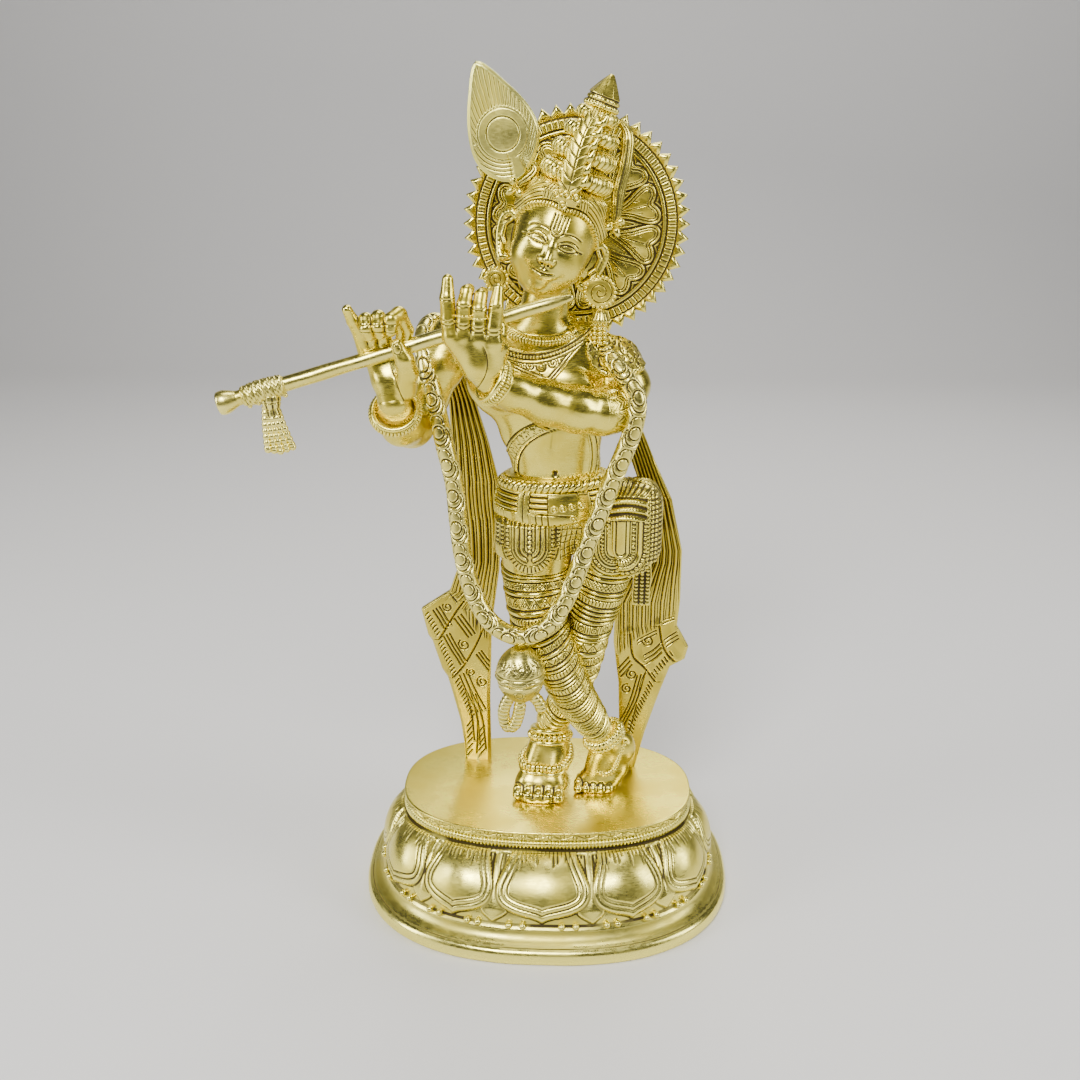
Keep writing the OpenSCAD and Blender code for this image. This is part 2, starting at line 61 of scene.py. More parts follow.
def ridge(x, width):
    """1 on a line, falling smoothly to 0 at width / 2 either side."""
    return ramp(np.abs(x), width / 2, 0)


def wave(x, period):
    """Distance to the nearest multiple of period."""
    return np.abs((x / period + 0.5) % 1 - 0.5) * period


def lattice(x, y, dx, dy):
    """Distance to the nearest point of a brick lattice."""
    row = np.floor(y / dy)
    px = ((x / dx + 0.5 * (row % 2)) % 1 - 0.5) * dx
    py = (y / dy % 1 - 0.5) * dy
    return np.hypot(px, py)


def smooth_path(points, count, loop=False):
    """Catmull-Rom curve through points, resampled evenly by length."""
    p = np.array(points, float)
    if loop:
        p = np.vstack([p[-1], p, p[0], p[1]])
    else:
        p = np.vstack([2 * p[0] - p[1], p, 2 * p[-1] - p[-2]])
    t = np.linspace(0, 1, 24, endpoint=False)[:, None]
    parts = []
    for a, b, c, d in zip(p[:-3], p[1:-2], p[2:-1], p[3:]):
        parts.append(0.5 * (2 * b + (c - a) * t + (2 * a - 5 * b + 4 * c - d) * t ** 2
                            + (3 * b - a - 3 * c + d) * t ** 3))
    fine = np.vstack(parts + ([parts[0][:1]] if loop else [p[-2:-1]]))
    along = np.concatenate([[0], np.cumsum(np.linalg.norm(np.diff(fine[:, :3], axis=0), axis=1))])
    want = np.linspace(0, along[-1], count, endpoint=not loop)
    return np.stack([np.interp(want, along, fine[:, k]) for k in range(p.shape[1])], 1)


def arc_length(path, loop=False):
    steps = np.linalg.norm(np.diff(path, axis=0), axis=1)
    total = steps.sum() + (np.linalg.norm(path[0] - path[-1]) if loop else 0)
    return np.concatenate([[0], np.cumsum(steps)]), total


def noise(p, scale, seed=0):
    """Cheap smooth value noise in -1..1 from a few turned sine waves."""
    r = np.random.default_rng(seed)
    total = 0
    for k in range(5):
        d = unit(r.normal(size=3)) * (TAU / scale) * (0.7 + 0.35 * k)
        total = total + np.sin(p @ d + r.uniform(0, TAU)) / (1 + 0.5 * k)
    return total / 2.4


# ---- shells: (vertices in mm, faces of four corners) --------------------------

def grid_faces(rows, cols, loop_rows=False, loop_cols=True):
    r = np.arange(rows if loop_rows else rows - 1)[:, None]
    c = np.arange(cols if loop_cols else cols - 1)[None, :]
    r2, c2 = (r + 1) % rows, (c + 1) % cols
    quads = np.stack([r * cols + c, r * cols + c2, r2 * cols + c2, r2 * cols + c], -1)
    return quads.reshape(-1, 4)


def grid_normals(grid, loop_rows=False, loop_cols=True):
    def slope(axis, loop):
        if loop:
            return np.roll(grid, -1, axis) - np.roll(grid, 1, axis)
        return np.gradient(grid, axis=axis)
    return unit(np.cross(slope(1, loop_cols), slope(0, loop_rows)))


def capped(grid):
    """A tube's grid with both ends drawn in to a point, so that it is closed."""
    first, last = grid[0], grid[-1]
    ends = []
    for ring, order in ((first, (0, 0.35, 0.75)), (last, (0.75, 0.35, 0))):
        ends.append([ring.mean(0) + (ring - ring.mean(0)) * f for f in order])
    return np.concatenate([ends[0], grid, ends[1]])


def shell(grid, loop_rows=False, loop_cols=True):
    rows, cols = grid.shape[:2]
    return grid.reshape(-1, 3), grid_faces(rows, cols, loop_rows, loop_cols)


def joined(shells):
    verts, faces, start = [], [], 0
    for v, f in shells:
        verts.append(v)
        faces.append(f + start)
        start += len(v)
    return np.vstack(verts), np.vstack(faces)


def outward(verts, faces):
    """Turns a closed shell's faces so that they look outward."""
    a, b, c, d = (verts[faces[:, k]] for k in range(4))
    volume = (np.cross(b - a, c - a) * a).sum() + (np.cross(c - a, d - a) * a).sum()
    return (verts, faces) if volume > 0 else (verts, faces[:, ::-1])


def vertex_normals(verts, faces):
    a, b, c, d = (verts[faces[:, k]] for k in range(4))
    n = np.cross(c - a, d - b)
    out = np.stack([
        sum(np.bincount(faces[:, k], n[:, j], len(verts)) for k in range(4)) for j in range(3)
    ], 1)
    return unit(out)


def averaged(values, faces, rounds):
    """Values smoothed over the mesh's edges."""
    a = faces.ravel()
    b = np.roll(faces, -1, axis=1).ravel()
    i, j = np.concatenate([a, b]), np.concatenate([b, a])
    n = len(values)
    count = np.maximum(np.bincount(i, minlength=n), 1)[:, None]
    v = values.copy()
    for _ in range(rounds):
        total = np.stack([np.bincount(i, v[j, k], n) for k in range(v.shape[1])], 1)
        v = 0.4 * v + 0.6 * total / count
    return v


def hollows(verts, faces):
    """How far each point lies below its surroundings, in mm: fine cuts and broad dips."""
    n = vertex_normals(verts, faces)
    fine = averaged(verts, faces, 4)
    broad = averaged(fine, faces, 22)
    return ((fine - verts) * n).sum(1), ((broad - verts) * n).sum(1)


def make_object(name, shells, material, smooth=True):
    verts, faces = joined([outward(*s) for s in shells])
    mesh = bpy.data.meshes.new(name)
    mesh.vertices.add(len(verts))
    mesh.vertices.foreach_set("co", (verts * MM).astype(np.float32).ravel())
    mesh.loops.add(faces.size)
    mesh.loops.foreach_set("vertex_index", faces.ravel().astype(np.int32))
    mesh.polygons.add(len(faces))
    mesh.polygons.foreach_set("loop_start", np.arange(0, faces.size, 4, dtype=np.int32))
    mesh.polygons.foreach_set("use_smooth", np.full(len(faces), smooth))
    mesh.update()
    fine, broad = hollows(verts, faces)
    for label, values in (("cut", fine), ("dip", broad)):
        layer = mesh.attributes.new(label, "FLOAT", "POINT")
        layer.data.foreach_set("value", values.astype(np.float32))
    mesh.validate()
    obj = bpy.data.objects.new(name, mesh)
    bpy.context.scene.collection.objects.link(obj)
    mesh.materials.append(material)
    return obj


def piece(name, shells, material, slot, *nodes):
    """A finished piece: rides on the statue and stands for its CAD nodes."""
    obj = make_object(name, shells, material)
    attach(obj, "root")
    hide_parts(*nodes)
    return obj


# ---- tubes, rings and beads ---------------------------------------------------

def frames(path, loop=False, up=(0, -1, 0)):
    """Tangent, side and up at each point: up keeps as close to the given direction as it can."""
    if loop:
        t = unit(np.roll(path, -1, 0) - np.roll(path, 1, 0))
    else:
        t = unit(np.gradient(path, axis=0))
    side = unit(np.cross(t, np.asarray(up, float)))
    return t, side, np.cross(side, t)


def tube(path, radius, cols, relief=None, loop=False, up=(0, -1, 0), flat=1.0):
    """Swept tube. radius: number or one per point. flat squashes it along up.
    relief(s, angle) adds to the radius: s is the length along, angle 0 is at up."""
    t, side, top = frames(path, loop, up)
    a = np.linspace(0, TAU, cols, endpoint=False)
    along, total = arc_length(path, loop)
    r = np.broadcast_to(np.asarray(radius, float).reshape(-1, 1), (len(path), cols)).copy()
    if relief is not None:
        r = r + relief(along[:, None], (a[None, :] + math.pi) % TAU - math.pi)
    ring = (np.sin(a)[None, :, None] * side[:, None] + flat * np.cos(a)[None, :, None] * top[:, None])
    grid = path[:, None] + r[..., None] * ring
    return shell(grid, loop_rows=True) if loop else shell(capped(grid))


def ring_path(centre, axis, radius, count, squash=1.0):
    """Circle round an axis, as a loop of points; squash shortens it along Y."""
    axis = unit(np.array(axis, float))
    a = unit(np.cross(axis, (0.0, 1.0, 0.0)))
    b = np.cross(axis, a)
    t = np.linspace(0, TAU, count, endpoint=False)[:, None]
    return np.array(centre, float) + radius * (np.cos(t) * a + squash * np.sin(t) * b)


def ribbed_ring(centre, axis, radius, section, ribs, depth=0.35, squash=1.0, twist=0.0, up=None):
    """A bangle: a ring of round section cut into ribs."""
    count = ribs * 6
    path = ring_path(centre, axis, radius, count, squash)
    length = arc_length(path, True)[1]

    def relief(s, a):
        return depth * (np.cos(TAU * ribs * s / length + twist * a) - 1) / 2
    return tube(path, section, 14, relief, loop=True, up=axis if up is None else up)


def bead(centre, radius, rows=7, cols=10, scale=(1, 1, 1)):
    """A small ball, as one closed shell."""
    lat = np.linspace(-math.pi / 2 + 0.12, math.pi / 2 - 0.12, rows)[:, None]
    lon = np.linspace(0, TAU, cols, endpoint=False)[None, :]
    grid = np.stack([np.cos(lat) * np.cos(lon), np.cos(lat) * np.sin(lon),
                     np.sin(lat) + 0 * lon], -1) * radius * np.array(scale)
    return shell(capped(grid + np.array(centre, float)))


def beads(centres, radius, rows=6, cols=9, scale=(1, 1, 1)):
    return [bead(c, radius, rows, cols, scale) for c in centres]


# ---- rounded solids from distance fields ------------------------------------

def blend_min(a, b, k):
    h = np.clip(0.5 + 0.5 * (b - a) / k, 0, 1)
    return b + (a - b) * h - k * h * (1 - h)


def carve(a, b, k):
    """Takes b away from a, with a rounded edge."""
    return -blend_min(-a, b, k)


def bone(p, a, b, ra, rb):
    a, b = np.array(a, float), np.array(b, float)
    ab = b - a
    h = np.clip(((p - a) @ ab) / (ab @ ab), 0, 1)
    return np.linalg.norm(p - a - h[:, None] * ab, axis=1) - (ra + (rb - ra) * h)


def chain(p, points, k=1.0):
    """Bones through points given as (x, y, z, radius)."""
    out = None
    for a, b in zip(points[:-1], points[1:]):
        d = bone(p, a[:3], b[:3], a[3], b[3])
        out = d if out is None else blend_min(out, d, k)
    return out


def blob(p, centre, radii, turn=None):
    """Ellipsoid; turn is a 3 by 3 matrix whose columns are its own axes."""
    q = p - np.array(centre, float)
    if turn is not None:
        q = q @ turn
    r = np.array(radii, float)
    a = np.linalg.norm(q / r, axis=1)
    b = np.linalg.norm(q / r ** 2, axis=1)
    return a * (a - 1) / np.maximum(b, 1e-9)


def field_mesh(field, low, high, step, relax=2, coarse=4):
    """Surface where field(points) = 0, as a closed shell of quads (surface nets)."""
    low, high = np.array(low, float), np.array(high, float)
    n = (np.ceil((high - low) / (step * coarse)).astype(int) + 1) * coarse
    big = n // coarse
    centre = (np.indices(big).reshape(3, -1).T + 0.5) * step * coarse + low
    rough = field(centre).reshape(big)
    near = np.abs(rough) < step * coarse * 1.6
    values = np.repeat(np.repeat(np.repeat(rough, coarse, 0), coarse, 1), coarse, 2)
    mask = np.repeat(np.repeat(np.repeat(near, coarse, 0), coarse, 1), coarse, 2)
    where = np.argwhere(mask)
    values[mask] = field(where * step + low)
    values[0], values[-1] = 9, 9
    values[:, 0], values[:, -1] = 9, 9
    values[:, :, 0], values[:, :, -1] = 9, 9

    inside = values < 0
    corners = [(i, j, k) for i in (0, 1) for j in (0, 1) for k in (0, 1)]
    cells = tuple(m - 1 for m in values.shape)

    def at(array, c):
        return array[c[0]:c[0] + cells[0], c[1]:c[1] + cells[1], c[2]:c[2] + cells[2]]
    count = sum(at(inside, c).astype(np.int8) for c in corners)
    active = np.argwhere((count > 0) & (count < 8))
    index = np.full(cells, -1, np.int64)
    index[tuple(active.T)] = np.arange(len(active))
    total = np.zeros((len(active), 3))
    hits = np.zeros(len(active))
    for c in corners:
        for axis in range(3):
            if c[axis]:
                continue
            e = list(c)
            e[axis] = 1
            fa = values[tuple((active + c).T)]
            fb = values[tuple((active + e).T)]
            cross = (fa < 0) != (fb < 0)
            t = np.where(cross, fa / np.where(cross, fa - fb, 1), 0)
            point = np.tile(np.array(c, float), (len(active), 1))
            point[:, axis] = t
            total[cross] += point[cross]
            hits[cross] += 1
    verts = (active + total / hits[:, None]) * step + low

    faces = []
    for axis in range(3):
        u, v = (axis + 1) % 3, (axis + 2) % 3
        a = inside
        b = np.roll(inside, -1, axis)
        change = np.argwhere(a != b)
        change = change[(change[:, axis] < cells[axis]) & (change[:, u] > 0) & (change[:, v] > 0)
                        & (change[:, u] < cells[u]) & (change[:, v] < cells[v])]
        quad = []
        for du, dv in ((-1, -1), (0, -1), (0, 0), (-1, 0)):
            c = change.copy()
            c[:, u] += du
            c[:, v] += dv
            quad.append(index[tuple(c.T)])
        quad = np.stack(quad, 1)
        flip = inside[tuple(change.T)]
        quad[~flip] = quad[~flip][:, ::-1]
        faces.append(quad[(quad >= 0).all(1)])
    faces = np.vstack(faces)
    for _ in range(relax):
        verts = averaged(verts, faces, 1)
        d = field(verts)
        verts = verts - vertex_normals(verts, faces) * np.clip(d, -step, step)[:, None]
    return verts, faces


def engraved(mesh, relief, rounds=0):
    """Moves a shell's points along their normals by relief(points, normals)."""
    verts, faces = mesh
    n = vertex_normals(verts, faces)
    if rounds:
        n = unit(averaged(n, faces, rounds))
    return verts + n * relief(verts, n)[:, None], faces


# ---- materials ----------------------------------------------------------------

def brass(name, colour, deep, rough, dark=1.0, brushed=0.0, grain=1.0, dips=0.3, start=0.015):
    """Cast brass: dark tarnish in the cuts and painted shade in the broad dips, worn bright edges, fine scratches and
    grain.
    """
    mat = bpy.data.materials.new(name)
    mat.use_nodes = True
    nodes, links = mat.node_tree.nodes, mat.node_tree.links
    shader = nodes["Principled BSDF"]

    def node(kind, **values):
        made = nodes.new(kind)
        for key, value in values.items():
            if hasattr(made, key):
                setattr(made, key, value)
            else:
                made.inputs[key.replace("_", " ")].default_value = value
        return made

    def between(source, low, high, start=0.0, end=1.0):
        made = node("ShaderNodeMapRange", clamp=True, interpolation_type="SMOOTHSTEP")
        links.new(source, made.inputs["Value"])
        for key, value in (("From Min", low), ("From Max", high), ("To Min", start), ("To Max", end)):
            made.inputs[key].default_value = value
        return made.outputs["Result"]

    def combine(operation, a, b):
        made = node("ShaderNodeMath", operation=operation)
        for socket, value in zip(made.inputs, (a, b)):
            if isinstance(value, (int, float)):
                socket.default_value = value
            else:
                links.new(value, socket)
        return made.outputs[0]

    def mix(factor, a, b):
        made = node("ShaderNodeMix", data_type="RGBA")
        links.new(factor, made.inputs[0])
        for socket, value in ((made.inputs[6], a), (made.inputs[7], b)):
            if isinstance(value, tuple):
                socket.default_value = (*value, 1)
            else:
                links.new(value, socket)
        return made.outputs[2]

    place = node("ShaderNodeTexCoord").outputs["Object"]

    def pattern(scale, detail, stretch=(1, 1, 1), roughness=0.5):
        mapping = node("ShaderNodeMapping")
        mapping.inputs["Scale"].default_value = stretch
        links.new(place, mapping.inputs["Vector"])
        made = node("ShaderNodeTexNoise", Scale=scale, Detail=detail, Roughness=roughness)
        links.new(mapping.outputs[0], made.inputs["Vector"])
        return made.outputs["Fac"]

    cut = node("ShaderNodeAttribute", attribute_name="cut").outputs["Fac"]
    dip = node("ShaderNodeAttribute", attribute_name="dip").outputs["Fac"]
    blotch = pattern(55, 4)
    speck = pattern(900, 3)
    streak = pattern(220, 3, (1, 14, 14) if brushed else (2, 2, 9))

    broken = combine("MULTIPLY", between(blotch, 0.3, 0.7, 0.55, 1.25), dark)
    # Darkening mask: real tarnish in the fine cuts, plus painted shade in the broad dips where shade falls
    sunk = combine("ADD", between(cut, start, start + 0.07), between(dip, dips, dips + 0.8, 0.0, 0.8))
    patina_and_shade = combine("MINIMUM", combine("MULTIPLY", sunk, broken), 0.97)
    worn = combine("ADD", between(cut, -0.01, -0.09, 0.0, 0.6), between(dip, -0.1, -0.6, 0.0, 0.4))

    tone = mix(between(blotch, 0.35, 0.7), colour, deep)
    tone = mix(combine("MULTIPLY", between(speck, 0.56, 0.72), 0.35), tone, deep)
    bright = tuple(min(c * 1.1 + 0.02, 1) for c in colour)
    tone = mix(worn, tone, bright)
    # Near-black brown mixed in by the mask: tarnish colour in the cuts, painted shade in the broad dips
    links.new(mix(patina_and_shade, tone, (0.030, 0.017, 0.002)), shader.inputs["Base Color"])

    base_rough = combine("ADD", between(blotch, 0.3, 0.75, rough * 0.8, rough * 1.25),
                         between(streak, 0.35, 0.7, -0.03, 0.05))
    rougher = combine("ADD", base_rough, combine("MULTIPLY", patina_and_shade, 0.32))
    links.new(combine("MAXIMUM", combine("SUBTRACT", rougher, combine("MULTIPLY", worn, 0.06)), 0.08),
              shader.inputs["Roughness"])
    metal = node("ShaderNodeMath", operation="MULTIPLY_ADD")
    links.new(patina_and_shade, metal.inputs[0])
    metal.inputs[1].default_value = -0.6
    metal.inputs[2].default_value = 1.0
    links.new(metal.outputs[0], shader.inputs["Metallic"])
    if brushed:
        shader.inputs["Anisotropic"].default_value = brushed

    height = combine("ADD", combine("MULTIPLY", streak, 0.6 if brushed else 0.25),
                     combine("MULTIPLY", speck, 0.25 * grain))
    height = combine("ADD", height, combine("MULTIPLY", blotch, 0.5))
    bump = node("ShaderNodeBump", Strength=0.22, Distance=0.0003)
    links.new(height, bump.inputs["Height"])
    links.new(bump.outputs[0], shader.inputs["Normal"])
    return mat


FIGURE = brass("figure_brass", (0.89, 0.765, 0.13), (0.79, 0.64, 0.07), 0.27, dark=1.3)
ENGRAVED = brass("engraved_brass", (0.90, 0.77, 0.13), (0.78, 0.61, 0.06), 0.28, dark=1.8, dips=0.15, start=-0.01)
SCARF = brass("scarf_brass", (0.73, 0.60, 0.08), (0.58, 0.455, 0.045), 0.32, dark=1.7, start=0)
PALE = brass("pale_brass", (0.87, 0.77, 0.20), (0.77, 0.65, 0.11), 0.29, dark=1.5, start=0)
# Lighter copy of the pale brass for the feather at the top: its extra lightness is painted light, not a finish of its
# own
FEATHER_LIT_PALE = brass("feather_pale_brass_painted_lit", (0.97, 0.88, 0.24), (0.90, 0.79, 0.16), 0.36, dark=1.0)
BASE = brass("base_brass", (0.90, 0.80, 0.18), (0.82, 0.70, 0.11), 0.33, dark=1.0, dips=0.55)
BRUSHED = brass("brushed_brass", (0.88, 0.755, 0.12), (0.80, 0.65, 0.08), 0.30, dark=1.0, brushed=0.5)
STEEL = brass("steel", (0.60, 0.60, 0.58), (0.48, 0.48, 0.46), 0.34, dark=0.6)


# ---- studio ---------------------------------------------------------------------

def studio():
    scene = bpy.context.scene
    floor_mesh = bpy.data.meshes.new("floor")
    width, front, turn, radius, back = 3.0, -2.2, 1.1, 0.5, 1.6
    bend = [(turn + radius * math.sin(a), radius - radius * math.cos(a))
            for a in np.linspace(0, math.pi / 2, 17)]
    line = [(front, 0.0)] + bend + [(turn + radius, back)]
    verts = [(x, y, z) for x in (-width, width) for y, z in line]
    n = len(line)
    faces = [(i, i + 1, n + i + 1, n + i) for i in range(n - 1)]
    floor_mesh.from_pydata(verts, [], faces)
    for p in floor_mesh.polygons:
        p.use_smooth = True
    floor = bpy.data.objects.new("floor", floor_mesh)
    scene.collection.objects.link(floor)
    paper = bpy.data.materials.new("floor_paper")
    paper.use_nodes = True
    paper.node_tree.nodes["Principled BSDF"].inputs["Base Color"].default_value = (0.78, 0.77, 0.76, 1)
    paper.node_tree.nodes["Principled BSDF"].inputs["Roughness"].default_value = 0.7
    floor_mesh.materials.append(paper)

    world = bpy.data.worlds.new("room")
    scene.world = world
    world.use_nodes = True
    world.node_tree.nodes["Background"].inputs["Color"].default_value = (0.60, 0.62, 0.66, 1)
    world.node_tree.nodes["Background"].inputs["Strength"].default_value = 0.10

    def softbox(name, place, target, size, power, colour=(1, 1, 1)):
        light = bpy.data.lights.new(name, "AREA")
        light.shape = "RECTANGLE"
        light.size, light.size_y = size
        light.energy = power
        light.color = colour
        obj = bpy.data.objects.new(name, light)
        scene.collection.objects.link(obj)
        obj.location = place
        way = np.array(place, float) - np.array(target, float)
        pitch = math.atan2(math.hypot(way[0], way[1]), way[2])
        obj.rotation_euler = (pitch, 0, math.atan2(way[0], -way[1]))

    middle = (0, 0, 0.2)
    softbox("key", (-0.2, -0.95, 1.15), middle, (0.6, 0.4), 20, (1, 0.99, 0.96))
    softbox("left_panel", (-1.1, -0.45, 0.6), middle, (0.35, 0.8), 8)
    softbox("right_panel", (1.1, -0.3, 0.7), middle, (0.35, 0.8), 8)
    softbox("top", (0.05, 0.15, 1.5), (0, 0, 0), (0.6, 0.4), 6, (1, 0.98, 0.94))
    softbox("top_back", (0.2, 0.95, 1.0), middle, (0.8, 0.4), 6, (1, 0.97, 0.92))

    camera = bpy.data.cameras.new("camera")
    holder = bpy.data.objects.new("camera", camera)
    scene.collection.objects.link(holder)
    holder.location = (0.0158, -0.478, 0.353)
    holder.rotation_euler = (math.radians(69.4), 0, math.radians(2.3))
    camera.sensor_width = 36
    camera.lens = 38.33
    camera.clip_start = 0.01
    scene.camera = holder


studio()


# ---- base -----------------------------------------------------------------------

RIM_W, RIM_D = 87.3, 71.6
DECK_W, DECK_D, DECK_TOP = 68.4, 42.4, 48.7
OVAL_POWER = 2.4
PETALS = 12


def oval_angles(half_w, half_d, count):
    """Curve parameters evenly spaced by length round an oval, from the front."""
    a = np.linspace(0, TAU, 4000, endpoint=False) + FRONT
    x, y = oval(half_w, half_d, a)
    step = np.hypot(np.diff(x, append=x[:1]), np.diff(y, append=y[:1]))
    along = np.concatenate([[0], np.cumsum(step)])
    return np.interp(np.arange(count) / count * along[-1], along, np.append(a, a[0] + TAU))


def oval(half_w, half_d, a):
    c, s = np.cos(a), np.sin(a)
    p = 2 / OVAL_POWER
    return half_w * np.sign(c) * np.abs(c) ** p, half_d * np.sign(s) * np.abs(s) ** p


def oval_band(profile, angles):
    """profile: rows of (half width, half depth, height)."""
    rows = []
    for w, d, z in profile:
        x, y = oval(w, d, angles)
        rows.append(np.stack([x, y, np.full_like(x, z)], 1))
    return np.array(rows)


def distance_to_line(x, y, line):
    """Distance from each (x, y) to a polyline, with its sign positive inside the outline."""
    best = np.full(x.shape, 1e9)
    inside = np.zeros(x.shape, bool)
    for (ax, ay), (bx, by) in zip(line[:-1], line[1:]):
        ux, uy = bx - ax, by - ay
        h = np.clip(((x - ax) * ux + (y - ay) * uy) / (ux * ux + uy * uy + 1e-12), 0, 1)
        best = np.minimum(best, np.hypot(x - ax - h * ux, y - ay - h * uy))
        hit = ((ay > y) != (by > y)) & (x < (bx - ax) * (y - ay) / (by - ay + 1e-12) + ax)
        inside ^= hit
    return np.where(inside, best, -best)


PETAL_PITCH, PETAL_FALL = 38.0, 28.0
# Distance round the base from the front to each petal's middle, and its half width:
# the front and back petals are broader than the ten between them
ROUND = 444.0
PETAL_PLACES = [(0, 22.5)] + [(40.2 + 35.4 * k, 17.7) for k in range(5)] + [(222, 22.5)]
PETAL_PLACES += [(ROUND - c, w) for c, w in PETAL_PLACES[5:0:-1]]


def petal_place(along):
    """Distance from the nearest petal's middle, as if every petal had the same pitch."""
    best = np.full(along.shape, 1e9)
    for centre, half in PETAL_PLACES:
        off = ((along - centre + ROUND / 2) % ROUND - ROUND / 2) / half
        best = np.where(np.abs(off) < np.abs(best), off, best)
    return best * PETAL_PITCH / 2


def petal_outline(widest=17.9, tip=27.6):
    """Half of a downward petal: flaring sides, round shoulders and a small pointed tip."""
    half = [(0.70, -0.6), (0.74, -0.12), (0.8, 0.1), (0.9, 0.3), (0.98, 0.46), (1.0, 0.58), (0.96, 0.7),
            (0.84, 0.8), (0.62, 0.875), (0.36, 0.92), (0.14, 0.955), (0, 1.0)]
    right = smooth_path([(x * widest, y * tip) for x, y in half], 60)
    left = right[::-1] * np.array([-1, 1])
    return np.vstack([right, left[1:], right[:1]])


def sepal_outline():
    """Half of the narrow leaf between two petals: a strip ending in a spearhead."""
    half = [(2.0, -2), (1.7, 8), (2.0, 14), (3.4, 18.6), (5.6, 22.4), (5.9, 24.2), (4.2, 26), (2.0, 27.4), (0, 28.8)]
    right = smooth_path(half, 50)
    left = right[::-1] * np.array([-1, 1])
    return np.vstack([right, left[1:], right[:1]])


def petal_relief(across, down):
    """Height of the lotus band: one petal and the leaf tips behind it. Both in mm."""
    d = distance_to_line(across, down, petal_outline(18.3))
    beside = (across + PETAL_PITCH) % PETAL_PITCH - PETAL_PITCH / 2
    leaf = distance_to_line(beside, down, sepal_outline())
    behind = -1.1 + 1.0 * ramp(leaf, 0, 0.8) + 0.5 * ramp(leaf, 1.5, 5)
    face = 0.9 * ramp(d, 0, 1.1) - 0.55 * ridge(d - 2.7, 1.2) - 0.5 * ridge(d - 4.7, 1.2)
    face = face + 2.0 * ramp(np.hypot(across / 19, (down - 14) / 19), 1, 0.1)
    return np.where(d > 0, np.maximum(face, behind), behind)


def neck_strokes(along, down, seed=3):
    """Fine upright strokes of mixed length at the top of the petals."""
    pitch = 2.0
    cell = np.floor(along / pitch).astype(int)
    r = np.random.default_rng(seed)
    length = r.uniform(2.0, 9.5, cell.max() - cell.min() + 1)[cell - cell.min()]
    line = ridge(along - (cell + 0.5) * pitch, 1.2)
    return -0.5 * line * ramp(down, length, length - 2.5)


def lotus_base():
    columns = PETALS * 75
    angles = oval_angles(78, 58, columns)
    rim = [(RIM_W - i, RIM_D - i, z) for i, z in
           ((4, 0), (1.2, 0), (0.35, 0.35), (0, 1.2), (0, 2.6), (0, 4.0), (0.25, 5.2), (0.8, 6.2),
            (1.6, 6.9), (2.6, 7.2), (3.4, 7.9))]
    ledge = smooth_path([(RIM_W - i, RIM_D - i, z) for i, z in
                         ((4.3, 8.2), (5.6, 8.9), (6.8, 9.9), (7.7, 11.2), (8.3, 12.8))], 12)
    slope = smooth_path([(RIM_W - 8.7, RIM_D - 8.8, 14), (RIM_W - 9.0, RIM_D - 10.2, 18.5),
                         (RIM_W - 10.2, RIM_D - 13, 24), (RIM_W - 12.4, RIM_D - 17.6, 30),
                         (RIM_W - 15, RIM_D - 23.4, 35), (RIM_W - 18.2, RIM_D - 29.2, 38.6)], 76)
    neck = [(RIM_W - 19.6, RIM_D - 31.0, 39.0), (RIM_W - 20.2, RIM_D - 31.8, 39.6),
            (RIM_W - 20.2, RIM_D - 31.8, 43.0), (RIM_W - 19.4, RIM_D - 30.0, 44.6),
            (RIM_W - 23, RIM_D - 34, 44.6)]
    grid = oval_band(np.vstack([rim, ledge, slope, neck]), angles)
    along = np.arange(columns) / columns * ROUND
    first, last = len(rim) + len(ledge), len(rim) + len(ledge) + len(slope)
    down = np.linspace(PETAL_FALL + 1.0, -0.5, last - first)[:, None]
    across = petal_place(along)
    height = np.zeros(grid.shape[:2])
    height[first:last] = petal_relief(across[None, :] + 0 * down, down + 0 * across[None, :])
    height[first:last] += neck_strokes(along[None, :] + 0 * down, down + 0 * along[None, :])
    height[first:last] *= ramp(down, -0.4, 1.2) * 0.75 + 0.25
    height += 0.08 * (noise(grid.reshape(-1, 3), 26, 5).reshape(height.shape) - 1.2)
    height[:2] = 0
    grid = grid + grid_normals(grid) * height[..., None]
    inner = [(RIM_W - i, RIM_D - j, z) for i, j, z in
             ((23, 34, 42.5), (21.5, 32.5, 36), (17.5, 23.5, 27), (14, 17, 17), (12, 12.5, 9), (4, 4, 0))]
    shells = [shell(np.concatenate([grid, oval_band(inner, angles)]), loop_rows=True)]


    # Beads between the leaf tips, and the ribbed ring under the deck
    steps = oval_angles(78, 58, 4440)
    spots = [centre + half * share for centre, half in PETAL_PLACES for share in (-0.66, -0.38, 0.38, 0.66)]
    places = steps[(np.array(spots) * 10).astype(int) % 4440]
    x, y = oval(RIM_W - 8.3, RIM_D - 8.7, places)
    shells += beads(np.stack([x, y, np.full_like(x, 14.2)], 1), 1.5, scale=(1.1, 1.1, 1))
    ribs = 216
    turn = oval_angles(RIM_W - 20.9, RIM_D - 31.6, ribs * 8)
    x, y = oval(RIM_W - 20.9, RIM_D - 31.6, turn)
    path = np.stack([x, y, np.full_like(x, 41.5)], 1)
    pitch = arc_length(path, True)[1] / ribs
    shells.append(tube(path, 2.3, 14, lambda s, a: -0.85 * ridge(wave(s, pitch), 1.15),
                       loop=True, up=(0, 0, 1)))
    piece("lotus_base", shells, BASE, "base_brass", "lotus_base")


